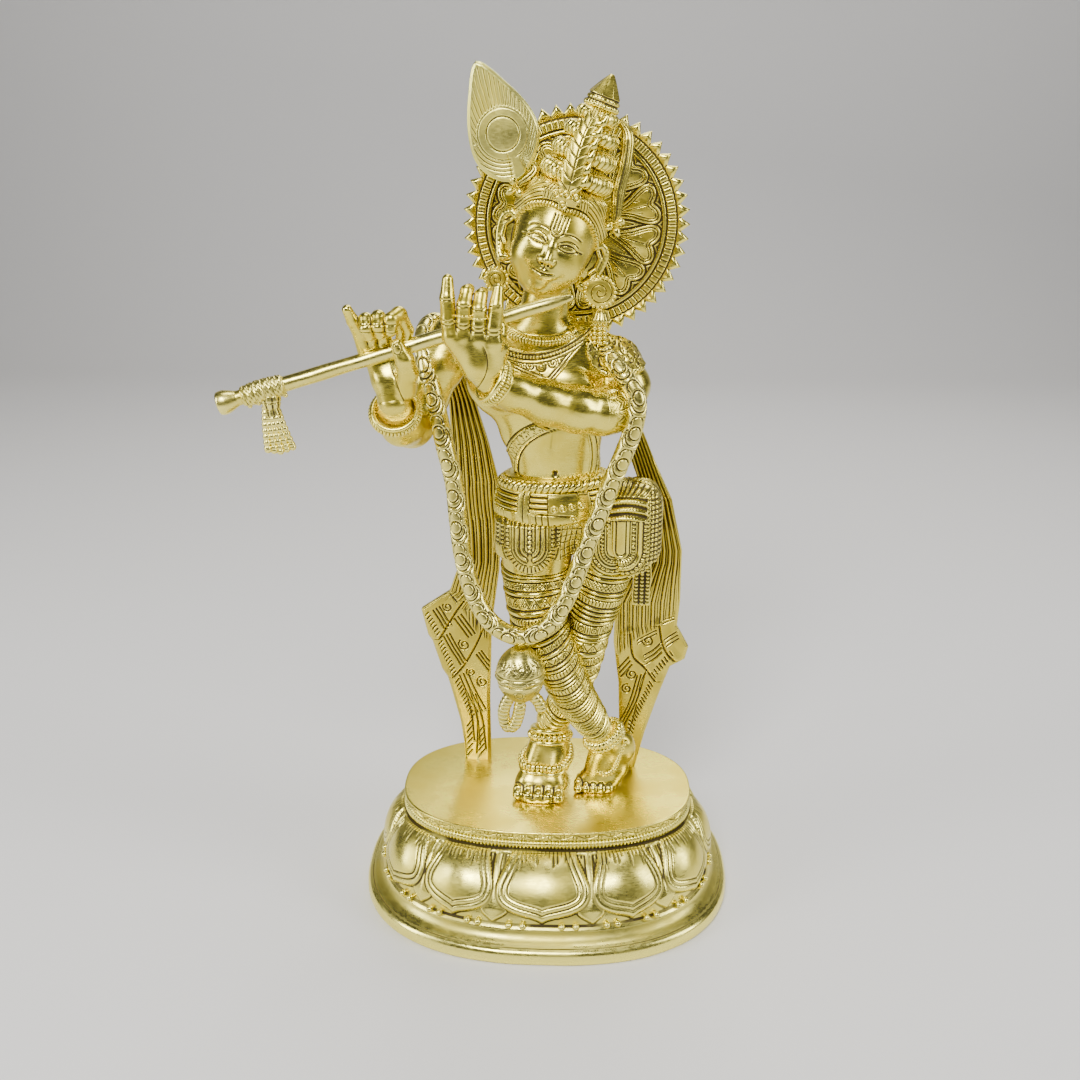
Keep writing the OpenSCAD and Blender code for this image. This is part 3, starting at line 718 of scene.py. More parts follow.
def deck_plate():
    columns = 1100
    angles = oval_angles(DECK_W, DECK_D, columns)
    side = []
    middle = [(0.5, z) for z in np.arange(45.1, 47.6, 0.2)]
    for inset, z in [(2.4, 44.5), (1.0, 44.55), (0.6, 44.8), *middle, (0.2, 47.7), (0, 47.9), (0, 48.3),
                     (0.15, 48.55), (0.45, 48.7)]:
        side.append((DECK_W - inset, DECK_D - inset, z))
    top = [(DECK_W * f, DECK_D * f, DECK_TOP) for f in (0.985, 0.96, 0.9, 0.8, 0.65, 0.5, 0.35, 0.2, 0.08, 0.01)]
    under = [(DECK_W * f, DECK_D * f, 44.75) for f in (0.01, 0.3, 0.6, 0.8)]
    grid = oval_band(side + top + under, angles)
    along = np.arange(columns)[None, :] / columns * 372
    z = grid[..., 2]
    swing = np.sin(TAU * along / 11.6)
    leaf = np.hypot(wave(along - 2.9, 5.8), z - 46.3 + 0.5 * swing)
    relief = -0.6 * ridge(z - 46.3 - 0.85 * swing, 0.95) - 0.5 * ridge(leaf - 0.9, 0.8) + 0.15
    band = ramp(z, 44.9, 45.2) * ramp(z, 47.7, 47.4)
    grid = grid + (band * relief)[..., None] * unit(grid * (1, 1, 0))
    piece("deck_plate", [shell(grid, loop_rows=True)], BRUSHED, "brushed_brass", "deck_plate")


lotus_base()
deck_plate()


# ---- halo and feather --------------------------------------------------------------

HALO_AT, HALO_R, HALO_TEETH, HALO_T = vec(11, 26, 307), 48.0, 50, 3.0


def heart_petal(radial, across, inner=15.5, outer=35.6):
    """Relief of one heart-shaped petal of the halo, pointing inward."""
    span = outer - inner
    half = [(0.1, -0.1), (0.26, 0.1), (0.5, 0.36), (0.8, 0.58), (0.97, 0.75), (0.96, 0.88),
            (0.78, 0.975), (0.48, 1.0), (0.2, 0.96), (0, 0.89)]
    right = smooth_path([(x * 8.7, inner + y * span) for x, y in half], 48)
    left = right[::-1] * np.array([-1, 1])
    d = distance_to_line(across, radial, np.vstack([right, left[1:], right[:1]]))
    face = 0.9 * ramp(d, 0, 0.6) - 0.65 * ridge(d - 1.5, 0.75) - 0.5 * ridge(d - 2.5, 0.6)
    face = face + 0.5 * ramp(np.hypot(across / 6.2, (radial - inner - 12.5) / 9), 1, 0.2)
    veins = ridge(wave(across, 2.6), 0.6) * (np.abs(across) < 3.6) * ramp(d, 2.8, 3.4)
    veins = veins * ramp(radial, inner + 15.5 - np.abs(across), inner + 14 - np.abs(across))
    return np.where(d > 0, face - 0.45 * veins, 0.3 * ridge(d + 0.9, 0.9))


def halo_disc():
    per_tooth = 16
    columns = HALO_TEETH * per_tooth
    angle = np.arange(columns) / columns * TAU
    tooth = wave(np.arange(columns) + per_tooth / 2, per_tooth) / (per_tooth / 2)
    edge = HALO_R + 0.1 - 3.9 * (1 - tooth)
    core = np.concatenate([np.linspace(4, 15, 8), np.linspace(15.4, 43.0, 92)])
    radius = np.concatenate([np.tile(core[:, None], (1, columns)),
                             [43.2 + (edge - 43.2) * f for f in (0.12, 0.3, 0.5, 0.7, 0.86, 1.0)]])
    turn = np.tile(angle, (len(radius), 1))
    petal = 12
    local = ((turn / TAU * petal) % 1 - 0.5) * TAU / petal
    height = heart_petal(radius * np.cos(local), radius * np.sin(local))
    rib = ridge(wave(turn, TAU / 100), 0.024)
    height = np.where(radius > 36.2, 0.0, height)
    height = height + 0.9 * ramp(radius, 36.2, 36.5) * ramp(radius, 38.0, 37.7)
    height = height + (1.1 - 0.6 * rib) * ramp(radius, 38.4, 38.8) * ramp(radius, 42.3, 41.9)
    height = height + 0.5 * ridge(radius - 42.9, 0.8)
    point = np.clip((radius - 43.2) / np.maximum(edge - 43.2, 0.01), 0, 1)
    ramped = np.minimum(0.5 + point / 0.8, (1.15 - point) / 0.6)
    pyramid = -0.1 + 1.3 * np.minimum(ramped, 0.35 + 1.0 * tooth)
    height = np.where(radius > 43.15, pyramid, height)
    height[-1] = -0.5
    height += 0.06 * noise(np.stack([radius * np.cos(turn), radius * np.sin(turn), 0 * turn], -1)
                           .reshape(-1, 3), 12, 8).reshape(height.shape)
    depth = HALO_T - 0.8 + height

    def disc(r, d):
        x, z = HALO_AT[0] + r * np.cos(angle), HALO_AT[2] + r * np.sin(angle)
        return np.stack([x, HALO_AT[1] - d + 0 * angle, z], -1)
    front = [disc(r, d) for r, d in zip(radius, depth)]
    back = [disc(radius[-1] * f, 0.2 if f > 0.9 else 0.0) for f in (1.0, 0.97, 0.85, 0.6, 0.3)]
    rear_ring = [disc(4.0 + 0 * angle, 0.0)]
    grid = np.array(front + back + rear_ring)
    piece("halo_disc", [shell(grid, loop_rows=True)], ENGRAVED, "engraved_brass", "halo_disc")


FEATHER_EYE = vec(-17.6, -5, 343.5)


def feather():
    """Pointed plate with fine barbs and a round eye."""
    rim = smooth_path([(-27.6, 369.6), (-31.0, 356), (-31.2, 343), (-28.4, 333), (-22.5, 327.5), (-15.5, 325.6),
                       (-9, 329), (-4.6, 336.5), (-3.4, 345), (-7.2, 353.5), (-15.5, 361.8)], 520, loop=True)
    tip = np.argmin(np.hypot(rim[:, 0] + 27.6, rim[:, 1] - 369.6))
    rim = np.roll(rim, -tip, 0)
    rim[0] = (-27.9, 369.9)
    eye = FEATHER_EYE[[0, 2]]
    share = np.concatenate([np.linspace(0.03, 0.9, 56), [0.92, 0.94, 0.96, 0.98, 0.99, 1.0]])[:, None, None]
    flat = eye + (rim - eye) * share
    x, z = flat[..., 0] - eye[0], flat[..., 1] - eye[1]
    outline = np.vstack([rim[::13], rim[:1]])
    gap = np.abs(distance_to_line(flat[..., 0], flat[..., 1], outline))
    r = np.hypot(x, z)
    fx, fz = x - 6.5, z + 17.5
    reach = np.hypot(fx, fz)
    fan = np.arctan2(fx, fz) + 0.22 * np.sin(np.arctan2(fx, fz) * 1.5) * reach / 22
    barbs = ridge(wave(fan + 0.01 * noise(np.stack([x, z, 0 * x], -1).reshape(-1, 3), 9, 4).reshape(x.shape), 0.066), 0.036)
    outside_eye = ramp(r, 9.9, 10.6)
    low = (z < -4) & (x < 4.5)
    arcs = ridge(wave(r - 10.9, 1.5), 0.8) * (r < 16.5)
    height = 0.7 * ramp(gap, 0.2, 1.3) - 0.4 * np.where(low, arcs, barbs) * outside_eye * ramp(gap, 1.3, 1.9)
    height += 0.3 * ramp(r, 10.4, 9.8) - 0.5 * ridge(r - 9.7, 0.7) - 0.55 * ridge(r - 6.5, 0.9)
    height += 0.7 * ramp(gap, 6, 14)
    crescent = np.hypot(x - 1.4, z - 0.6)
    height -= 0.4 * ridge(crescent - 7.6, 0.6) * (x < -1) * (z < 2) * (z > -7)
    stem = np.abs(x - 4.6 + 0.32 * (z + 8)) - 1.7 + 0.12 * (z + 8)
    wedge = ramp(stem, 0.6, -0.6) * ramp(z, -6.4, -9.0)
    height = height * (1 - wedge) + wedge * 1.1 - 0.3 * ridge(stem - 0.9, 0.7) * (z < -7.5)
    height[-1] = -0.5
    height[-2] = 0.0
    front = np.stack([flat[..., 0], FEATHER_EYE[1] - 0.6 - height, flat[..., 1]], -1)
    back = np.array([np.stack([eye[0] + (rim[:, 0] - eye[0]) * f, np.full(len(rim), FEATHER_EYE[1] + y),
                               eye[1] + (rim[:, 1] - eye[1]) * f], -1)
                     for f, y in ((1, 0.8), (0.98, 1.2), (0.8, 1.25), (0.4, 1.25), (0.04, 1.25))])
    piece("feather", [shell(capped(np.concatenate([front, back])))], FEATHER_LIT_PALE, "pale_brass", "feather")


# ---- scarves ------------------------------------------------------------------------

def on_strokes(x, z, lines, width=0.9):
    """1 along engraved lines and 0 away from them; each line is a row of (x, z) points."""
    found = np.zeros(x.shape)
    for line in lines:
        path = smooth_path(line, 8 * len(line)) if len(line) > 2 else np.array(line)
        low, high = path.min(0) - width, path.max(0) + width
        near = (x > low[0]) & (x < high[0]) & (z > low[1]) & (z < high[1])
        gap = np.abs(distance_to_line(x[near], z[near], path))
        found[near] = np.maximum(found[near], ridge(gap, width))
    return found


def dashes(start, end, count, reach):
    """Short strokes in a row from start to end, each lying along reach."""
    half = vec(*reach) / 2
    return [[p - half, p + half] for p in np.linspace(start, end, count)]


def scarf(name, left, right, foot_y, lean, pleats, fade, steps, lines, seed):
    """Hanging cloth: a thick sheet between two edges, with long pleats above folded ends.

    left and right: (z, x) points of its edges, from the deck up. fade: (x, z) points where
    the pleats end. steps: the lines where one fold overlaps the next. lines: fine strokes.
    """
    rows, cols, back_cols = 600, 104, 36
    z = np.linspace(0, left[-1][0], rows)
    a = np.interp(z, *zip(*left))
    b = np.interp(z, *zip(*right))
    u = np.linspace(0, 1, cols)
    x = a[:, None] + (b - a)[:, None] * u[None, :]
    zz = np.tile(z[:, None], (1, cols))
    tall = zz + DECK_TOP
    width = (b - a)[:, None]
    edge = np.minimum(u, 1 - u)[None, :] * width
    blur = noise(np.stack([x, 0 * x, zz], -1).reshape(-1, 3), 24, seed).reshape(x.shape)
    swing = 0.7 * np.sin(zz / 19 + 0.7) + 0.3 * np.sin(zz / 7.3 + 1)
    share = u[None, :] + swing / np.maximum(width, 8)
    fold = 0.55 * np.cos(TAU * share * pleats) - 0.85 * ridge(wave(share, 1 / pleats) * width - 0.9, 0.95)
    fold = fold - 0.6 * ridge(wave(share - 0.38 / pleats, 1 / pleats) * width, 0.8) * ramp(blur, -0.3, 0.1)
    hang = ramp(tall - np.interp(x, *zip(*fade)), -3, 3)
    height = hang * fold + 0.12 * blur
    for step in steps:
        path = smooth_path(step, 24)
        order = np.argsort(path[:, 0])
        above = tall > np.interp(x, path[order, 0], path[order, 1])
        gap = np.abs(distance_to_line(x, tall, path))
        height = height - 0.9 * ridge(gap, 1.5) + 0.8 * ramp(gap, 5, 0.8) * above
    height = height - 0.9 * on_strokes(x, tall, lines, 1.15) * (1 - hang)
    height = height * ramp(edge, 0, 1.2) + 0.3 * ramp(edge, 0, 1.2)
    front_y = -2.2 - height * 0.85 + 0.8 * ramp(edge, 1.6, 0)
    back_u = np.linspace(1, 0, back_cols)
    back_x = a[:, None] + width * back_u[None, :]
    back_edge = np.minimum(back_u, 1 - back_u)[None, :] * width
    back_y = 2.2 + 0.5 * np.cos(TAU * back_x / 4.1 + swing[:, :back_cols]) * ramp(back_edge, 0, 1.5) - \
        0.8 * ramp(back_edge, 1.6, 0)
    xs = np.concatenate([x, back_x], 1)
    ys = np.concatenate([front_y, back_y], 1)
    zs = np.tile(z[:, None], (1, cols + back_cols))
    tilt = math.tan(math.radians(lean))
    grid = np.stack([xs, foot_y + ys - zs * tilt, zs + DECK_TOP - 0.1], -1)
    piece(name, [shell(capped(grid))], SCARF, "scarf_brass", name)


def combed(start, end, count, step, bow=0.0):
    """Long strokes side by side: each runs from start to end, bowed to one side, one step on from the last."""
    start, end = vec(*start), vec(*end)
    sideways = unit(vec(end[1] - start[1], start[0] - end[0]))
    line = [start, (start + end) / 2 + sideways * bow, end]
    return [[point + vec(*step) * k for point in line] for k in range(count)]


def whorl(x, z, radius, start):
    """One spiral stroke, from its outer end in to its middle."""
    turn = np.linspace(0, 1.35, 12)
    away = radius * (1 - 0.55 * turn)
    angle = start + TAU * turn
    return [[vec(x + r * math.cos(t), z + r * math.sin(t)) for r, t in zip(away, angle)]]


LEFT_STEPS = [[(-40, 136), (-44, 130), (-48, 123), (-52, 116)],
              [(-31, 122), (-34, 114.5), (-37, 108.5), (-41, 101.5), (-46, 95.5)]]
LEFT_LINES = [
    *combed((-54.5, 131), (-49, 121.5), 3, (1.5, 1)), *combed((-46.5, 140), (-43, 135.5), 2, (1.7, 1.2)),
    *combed((-50, 117.5), (-42, 102.5), 3, (1.5, 0.7), 0.4), *combed((-44.5, 127), (-38, 117), 3, (1.6, 1.1)),
    *combed((-43, 96.5), (-34.5, 76), 3, (2, 0.8), 0.5), *combed((-34.5, 108), (-29, 99.5), 3, (1.2, 1)),
    *combed((-41, 91), (-36.5, 60), 3, (2.8, -2.5), -1), *combed((-34.5, 71), (-35.5, 53), 1, (0, 0)),
    *whorl(-47.7, 132.8, 2.4, 2.6), *whorl(-40.3, 113, 3, 2.2), *whorl(-37.4, 98.2, 2.3, 2.4),
    *whorl(-32, 93, 3, 1.8),
    *dashes((-57.5, 129), (-52.5, 119), 7, (1.6, 1.9)), *dashes((-51.5, 114), (-45.5, 98), 10, (1.6, 2)),
    *dashes((-44, 93.5), (-37, 74), 11, (1.5, 2.2)), *dashes((-38.5, 70), (-39, 53), 6, (2.6, 3.6)),
    *dashes((-33, 66.5), (-33, 53), 5, (2.8, 3.8))]
RIGHT_STEPS = [[(52, 126), (53.5, 117.5), (56, 112), (59.5, 108)],
               [(38.5, 121.5), (40, 110.5), (45.5, 104.5), (51, 97)]]
RIGHT_LINES = [
    *combed((46, 101), (36.5, 72), 3, (-1.8, -0.7), -1.2), *combed((38, 109.5), (33, 103), 3, (0.8, -2)),
    *combed((46, 106), (53.5, 112.5), 3, (-0.3, 2.3), 0.5), *combed((42, 118.5), (50.5, 123.5), 2, (0.3, -1.6)),
    *combed((52.5, 128.5), (58.5, 131), 2, (0.3, -1.5)), *combed((54.5, 119), (60, 123), 3, (0.6, -1.7)),
    *combed((42.5, 84), (36.5, 60), 1, (0, 0), -0.6), *combed((47, 103), (43.5, 90), 1, (0, 0), 0.8),
    *combed((38, 66), (36, 52), 1, (0, 0)),
    *whorl(46.8, 118.2, 2.8, 3.4), *whorl(39.7, 100.4, 2.8, 2.2), *whorl(37.6, 92.6, 2.6, 1.6),
    *dashes((58, 112), (50, 100.5), 8, (-1.6, 2.4)), *dashes((49, 95.5), (41.5, 76.5), 12, (-1.4, 2.4)),
    *dashes((40.5, 74), (38, 56), 10, (-2.4, 2.8))]


def scarves():
    scarf("left_scarf",
          [(0, -41.5), (10, -41.8), (22, -43.2), (39, -47), (46.5, -48.8), (51, -51.4), (66, -55.5), (69, -57.4),
           (82.5, -60.2), (92, -46.5), (107, -41.4), (146, -42.7), (184, -44), (199, -46.5)],
          [(0, -28.5), (35, -28.5), (75, -27), (103, -23), (128, -21.8), (147, -22.7), (166, -27.2), (184, -32.5),
           (199, -38.5)],
          21, 1.8, 6, [(-60, 136), (-44, 139), (-36, 123), (-22, 112)], LEFT_STEPS, LEFT_LINES, 11)
    scarf("right_scarf",
          [(0, 33.5), (20, 34.6), (47, 33.6), (68, 30.8), (89, 31.2), (109, 41.8), (138, 43.8), (158, 36.5), (168, 32.4),
           (183, 29.5)],
          [(0, 42.5), (20, 46.8), (42, 53.2), (56, 57.8), (60, 64.5), (66.5, 66), (77, 60.2), (90, 61.2),
           (115, 61), (139, 55.6), (158, 46.8), (172, 41), (183, 37.2)],
          16, 0, 7, [(30, 108), (42, 121), (50, 126), (60, 133), (68, 134)], RIGHT_STEPS, RIGHT_LINES, 12)


# ---- garland and flute ----------------------------------------------------------------

GARLAND_ROUTE = [
    (-40, 13, 265), (-49, 8, 268), (-52, 0, 263), (-50, -8, 252), (-46.5, -12, 238),
    (-42.5, -15, 220), (-39, -16, 204), (-37.5, -18, 188), (-35.5, -20, 172),
    (-31, -22, 156), (-23, -25, 143.5), (-11, -27, 138.5), (0, -27, 143),
    (7.5, -25, 153), (13, -23, 166), (17.5, -21, 179), (22, -20.5, 192),
    (27, -20, 206), (32, -19.5, 219), (36, -19, 231), (36.5, -17.5, 243),
    (30, -13, 252), (24, -4, 259), (21, 6, 262), (14, 14, 264), (3, 17, 266),
    (-10, 18, 267), (-26, 17, 266)]


def garland():
    """Rope of round flowers, each with a ringed centre, and scale arcs between them."""
    path = smooth_path(GARLAND_ROUTE, 1300, loop=True)
    length = arc_length(path, True)[1]
    flowers = round(length / 14)
    pitch = length / flowers
    middle = np.array([-6.0, 0.0, 205.0])
    falling = np.where(np.gradient(path[:, 2]) < 0, 1.0, -1.0)[:, None]

    def relief(s, a):
        along = ((s / pitch) % 1 - 0.5) * pitch
        around = a * 4.0
        disc = np.hypot(along, around)
        out = 0.3 * ramp(disc, 2.6, 2.2) - 0.85 * ridge(disc - 2.7, 1.0)
        below = along * falling
        inside = disc < 2.9
        for drop, size in ((1.1, 4.1), (2.3, 5.3)):
            ring = np.hypot(below - drop, around) - size
            out = out - 0.9 * ridge(ring, 1.05) * (below > -0.9) * ~inside
            inside = inside | (ring < 0)
        arch = np.hypot(below + 4.0, around) - 3.0
        out = out - 0.8 * ridge(arch, 1.0) * (below < -3.0) * (disc > 3.2)
        sides = ramp(np.abs(around), 5.4, 6.4)
        scales = 0.35 * ridge(wave(s + 0.5 * around, pitch / 4), 0.8)
        return out - sides * scales
    up = unit(path - middle) * vec(0.55, 1.0, 0.35) + vec(0, -1.1, 0)
    up = unit(averaged_rows(up, 40))
    piece("garland", [tube(path, 4.05, 64, relief, loop=True, up=up)], PALE, "pale_brass", "garland")


def averaged_rows(values, rounds):
    """Loop of directions smoothed along the loop."""
    for _ in range(rounds):
        values = (np.roll(values, 1, 0) + values + np.roll(values, -1, 0)) / 3
    return values


def lathe(axis_from, axis_to, profile, cols, relief=None):
    """profile: rows of (distance along, radius). relief(distance, angle) adds to the radius."""
    start, way = np.array(axis_from, float), unit(np.array(axis_to, float) - np.array(axis_from, float))
    side = unit(np.cross(way, (0.0, 1.0, 0.0) if abs(way[1]) < 0.8 else (0.0, 0.0, 1.0)))
    top = np.cross(side, way)
    a = np.linspace(0, TAU, cols, endpoint=False)[None, :]
    s = np.array([p[0] for p in profile], float)[:, None]
    r = np.array([p[1] for p in profile], float)[:, None] + 0 * a
    if relief is not None:
        r = r + relief(s, a)
    grid = start + s[..., None] * way + r[..., None] * (np.cos(a)[..., None] * side + np.sin(a)[..., None] * top)
    return shell(capped(grid))


FLUTE_TIP, FLUTE_END = vec(11, -23, 284), vec(-127, -46, 245)
FLUTE_WAY = unit(FLUTE_TIP - FLUTE_END)
FLUTE_LEN = float(np.linalg.norm(FLUTE_TIP - FLUTE_END))


def flute():
    profile = smooth_path([(0, 3.6), (0.4, 4.4), (1.6, 4.75), (3.2, 4.7), (5.2, 4.1), (7.6, 3.2), (10, 3.0), (30, 3.05),
                           (60, 2.9), (90, 3.05), (120, 2.95), (133, 2.9), (139, 2.3), (143.5, 1.4), (FLUTE_LEN - 0.3, 0.6)], 420)

    def relief(s, a):
        dents = 0.05 * np.sin(s / 7.3) * np.cos(a + s / 40) + 0.04 * np.sin(s / 3.1 + 2 * a)
        holes = np.hypot(((s - 100) % 7.0) - 3.5, (a - 1.9) * 2.9)
        return dents - 0.7 * ramp(holes, 0.85, 0.45) * (s > 100) * (s < 135)
    piece("flute", [lathe(FLUTE_END, FLUTE_TIP, profile, 44, relief)], PALE, "pale_brass", "flute")


def flute_tassel():
    def along(distance):
        return FLUTE_END + FLUTE_WAY * distance
    wrap = smooth_path([(9.6, 3.0), (10.4, 3.9), (13, 4.3), (16, 4.6), (20, 4.6), (24, 4.3), (26.4, 3.9), (27.2, 3.0)], 110)

    def cord(s, a):
        knots = np.cos(TAU * s / 1.9 + 2.0 * np.sin(a)) * np.cos(6 * a + s)
        return 0.22 * knots - 0.25 * ridge(wave(s, 3.8), 0.6)
    shells = [lathe(FLUTE_END, FLUTE_TIP, wrap, 60, cord)]
    tie = along(21)
    neck = smooth_path([tie, tie + (0.2, -0.4, -4), tie + (0.4, -0.4, -8), tie + (0.9, -0.2, -11)], 60)
    shells.append(tube(neck, np.interp(np.linspace(0, 1, 60), [0, 0.4, 0.75, 1], [3.8, 3.9, 3.0, 3.4]), 40,
                       lambda s, a: 0.25 * np.cos(8 * a) - 0.3 * ridge(wave(s, 2.6), 0.7)))
    for k in range(-2, 3):
        strand = smooth_path([tie + (k, 0.4 * k - 0.6, -7), tie + (0.8 + 1.5 * k, 0.7 * k - 1, -14),
                              tie + (2.4 + 2.2 * k, 1.0 * k - 0.8, -24.6 + 0.6 * abs(k))], 110)
        shells.append(tube(strand, 1.35, 16, lambda s, a: 0.38 * np.abs(np.cos(math.pi * s / 2.35)) - 0.25))
        shells.append(bead(strand[-1] + (0.1, 0, -0.4), 1.5, 8, 12))
    shells += beads([along(11.5 + 3.6 * i) + unit(np.cross(FLUTE_WAY, (0, 1, 0))) * -4.2 for i in range(5)], 1.0)
    piece("flute_tassel", shells, PALE, "pale_brass", "flute_tassel")


def garland_pendant():
    """Ribbed cap over a ball with a ridge, and three coiled drops."""
    profile = smooth_path([(0, 3.6), (1.4, 5.4), (3.2, 7.2), (6, 9.2), (9, 10.4), (12, 10.9), (13.6, 10.8), (15, 10.5),
                           (18, 9.7), (21, 8.0), (24, 5.6), (26, 3.0)], 170)

    def relief(s, a):
        cap = -0.4 * ridge(wave(a * 10.8 + 1.3 * np.sin(s * 0.8), 3.4), 0.85) * ramp(s, 10, 9) * ramp(s, 3, 4.5)
        cap = cap - 0.4 * ridge(s - 6.2 - 0.9 * np.sin(10 * a), 0.8)
        rim = 0.45 * ridge(s - 12.8, 2.6) - 0.5 * ridge(s - 10.8, 0.9) - 0.5 * ridge(s - 14.8, 0.9)
        scroll = -0.45 * ridge(s - 12.8 - 0.7 * np.sin(7 * a), 0.8)
        eyes = 0.4 * ridge(np.hypot(((a / TAU * 6) % 1 - 0.5) * 9.0, s - 18.6) - 1.9, 0.8)
        return cap + rim + scroll + eyes * (s > 15)
    shells = [lathe((-11, -28, 133.5), (-10.6, -26.6, 104), profile, 110, relief)]
    for route, r in ((((-15, -27.5, 111), (-18.2, -25.5, 103), (-18.6, -24, 97), (-17.4, -23.4, 92.5),
                       (-14.4, -23.8, 92.6), (-12.6, -25, 97), (-11.4, -26.5, 103), (-11, -27.5, 109)), 2.7),
                     (((-6, -26, 110), (-3, -24, 105), (-1.6, -22.4, 99.5)), 2.7)):
        drop = smooth_path(route, 220)
        length = arc_length(drop)[1]
        size = np.interp(np.linspace(0, 1, 220), [0, 0.1, 0.9, 1], [r * 0.8, r, r, r * 0.6])
        coils = round(length / 2.3)
        shells.append(tube(drop, size, 30,
                           lambda s, a, n=coils, m=length: 0.42 * np.abs(np.cos(math.pi * n * s / m)) - 0.3))
    piece("garland_pendant", shells, PALE, "pale_brass", "garland_pendant")


halo_disc()
feather()
scarves()
garland()
flute()
flute_tassel()
garland_pendant()


# ---- legs ------------------------------------------------------------------------

def bands(layout, t, u):
    """Engraved rings. layout: (width, kind) in order; t: distance along; u: length round the limb."""
    height = np.zeros(np.broadcast(t, u).shape)
    start = 0.0
    for number, (width, kind) in enumerate(layout):
        v = t - start
        inside = (v >= 0) & (v < width)
        mid = v - width / 2
        line = -0.95 * ridge(v, 1.25) - 0.95 * ridge(v - width, 1.25)
        field = ramp(v, 0.4, 0.7) * ramp(v, width - 0.4, width - 0.7)
        u2 = u + number * 0.9
        if kind == "roll":
            body = 0.8 * np.sqrt(np.clip(1 - (mid / (width / 2)) ** 2, 0, 1)) - 0.25
        elif kind == "flat":
            body = 0.25 * field
        elif kind == "dash":
            body = -0.6 * field * ridge(wave(u2, 1.7), 0.8)
        elif kind == "dots":
            dot = np.hypot(wave(u2, 6.0), mid)
            body = 0.2 * field - 0.6 * ridge(dot - 1.2, 0.75) - 0.4 * ramp(dot, 0.5, 0.2)
            body = body - 0.6 * field * ridge(wave(wave(u2 + 3.0, 6.0), 1.2), 0.65) * (wave(u2 + 3.0, 6.0) < 1.6)
        elif kind == "teeth":
            saw = wave(u2, 4.6) / 2.3 * width * 0.7 - width * 0.35
            body = 0.2 * field - 0.65 * field * ridge((mid - saw) * 0.75, 0.75)
            body = body - 0.5 * ridge(np.hypot(wave(u2, 4.6), mid - 0.7) - 0.6, 0.55)
        elif kind == "hatch":
            body = -0.45 * field * (ridge(wave(u2 + v, 1.9), 0.65) + ridge(wave(u2 - v, 1.9), 0.65))
        elif kind == "beads":
            body = 0.5 * ramp(np.hypot(wave(u2, 1.6), mid), 0.75, 0.25) - 0.25
        else:
            body = 0 * v
        height = np.where(inside, body + line, height)
        start += width
    return height


def limb_tube(stations, rows, cols, layout, slant, up=(0, -1, 0), dense=0.35, lead=0.0):
    """Tapering limb through (x, y, z, radius) stations, with bands sagging to the front by slant."""
    route = smooth_path(stations, rows)
    path, radius = route[:, :3], route[:, 3]
    t, side, top = frames(path, up=up)
    a = np.linspace(0, TAU, cols, endpoint=False)
    a = a - dense * np.sin(a)
    along = arc_length(path)[0][:, None]
    turn = (a[None, :] + math.pi) % TAU - math.pi
    r = radius[:, None] + 0 * turn
    r = r + bands(layout, along - lead - slant * np.cos(turn), radius[:, None] * turn)
    grid = path[:, None] + r[..., None] * (np.sin(a)[None, :, None] * side[:, None]
                                           + np.cos(a)[None, :, None] * top[:, None])
    return shell(capped(grid))


def toes(p, first, step, reach, radius, sizes):
    """Five toes side by side from first, each bent down at its end."""
    out = None
    for k, size in enumerate(sizes):
        root = vec(*first) + vec(*step) * (k / 4 - 0.5)
        way = vec(*reach) * size
        knuckle = root + way * 0.45 + (0, 0, 1.1)
        tip = root + way + (0, 0, -0.2)
        r = radius * (0.85 + 0.15 * size)
        d = chain(p, [(*(root - way * 0.6), r * 0.8), (*knuckle, r * 0.95), (*tip, r)], 0.7)
        out = d if out is None else blend_min(out, d, 0.25)
    return out


def toe_nails(first, step, reach, sizes):
    """Points on top of the toe ends, for the nails' engraving."""
    return [vec(*first) + vec(*step) * (k / 4 - 0.5) + vec(*reach) * size * 0.98 + (0, 0, 1.7)
            for k, size in enumerate(sizes)]


def nail_relief(nails, radius=1.4, depth=0.2):
    """Outlines of the nails."""
    def relief(p, n):
        h = np.zeros(len(p))
        for nail in nails:
            q = p - nail
            d = np.linalg.norm(q * (1, 0.8, 0.9), axis=1)
            h -= depth * ridge(d - radius, 0.9)
        return h
    return relief


def sole(p, centre, half, low, high):
    """A flat rounded slab under a foot."""
    u, v = np.abs((p[:, 0] - centre[0]) / half[0]), np.abs((p[:, 1] - centre[1]) / half[1])
    plan = ((u ** 3 + v ** 3) ** (1 / 3) - 1) * min(half)
    flat = np.abs(p[:, 2] - (low + high) / 2) - (high - low) / 2
    return carve(plan, -flat, 1.2)


STANDING = [(27.5, 3, 186, 14.0), (27, 3, 172, 13.8), (23, 0, 152, 12.6), (19, -2, 136, 10.9), (15, -1, 112, 9.0),
            (8, 1, 92, 7.7), (1.4, 3, 78, 6.9)]
CROSSED = [(-5, 1, 190, 16.4), (-4.5, 0, 176, 16.2), (-5, -2, 158, 15.1), (-3, -9.5, 139, 12.9), (4, -13, 122, 10.6),
           (13, -12, 102, 9.2), (24, -7, 82, 7.2), (26, -5, 77.5, 6.4)]


def foot_field(bones, first, step, reach, radius, sizes, extra=None):
    def field(p):
        d = None
        for a, b, ra, rb in bones:
            e = bone(p, a, b, ra, rb)
            d = e if d is None else blend_min(d, e, 3.0)
        if extra is not None:
            d = extra(p, d)
        d = blend_min(d, toes(p, first, step, reach, radius, sizes), 0.9)
        return carve(d, p[:, 2] - (DECK_TOP + 0.05), 0.6)
    return field


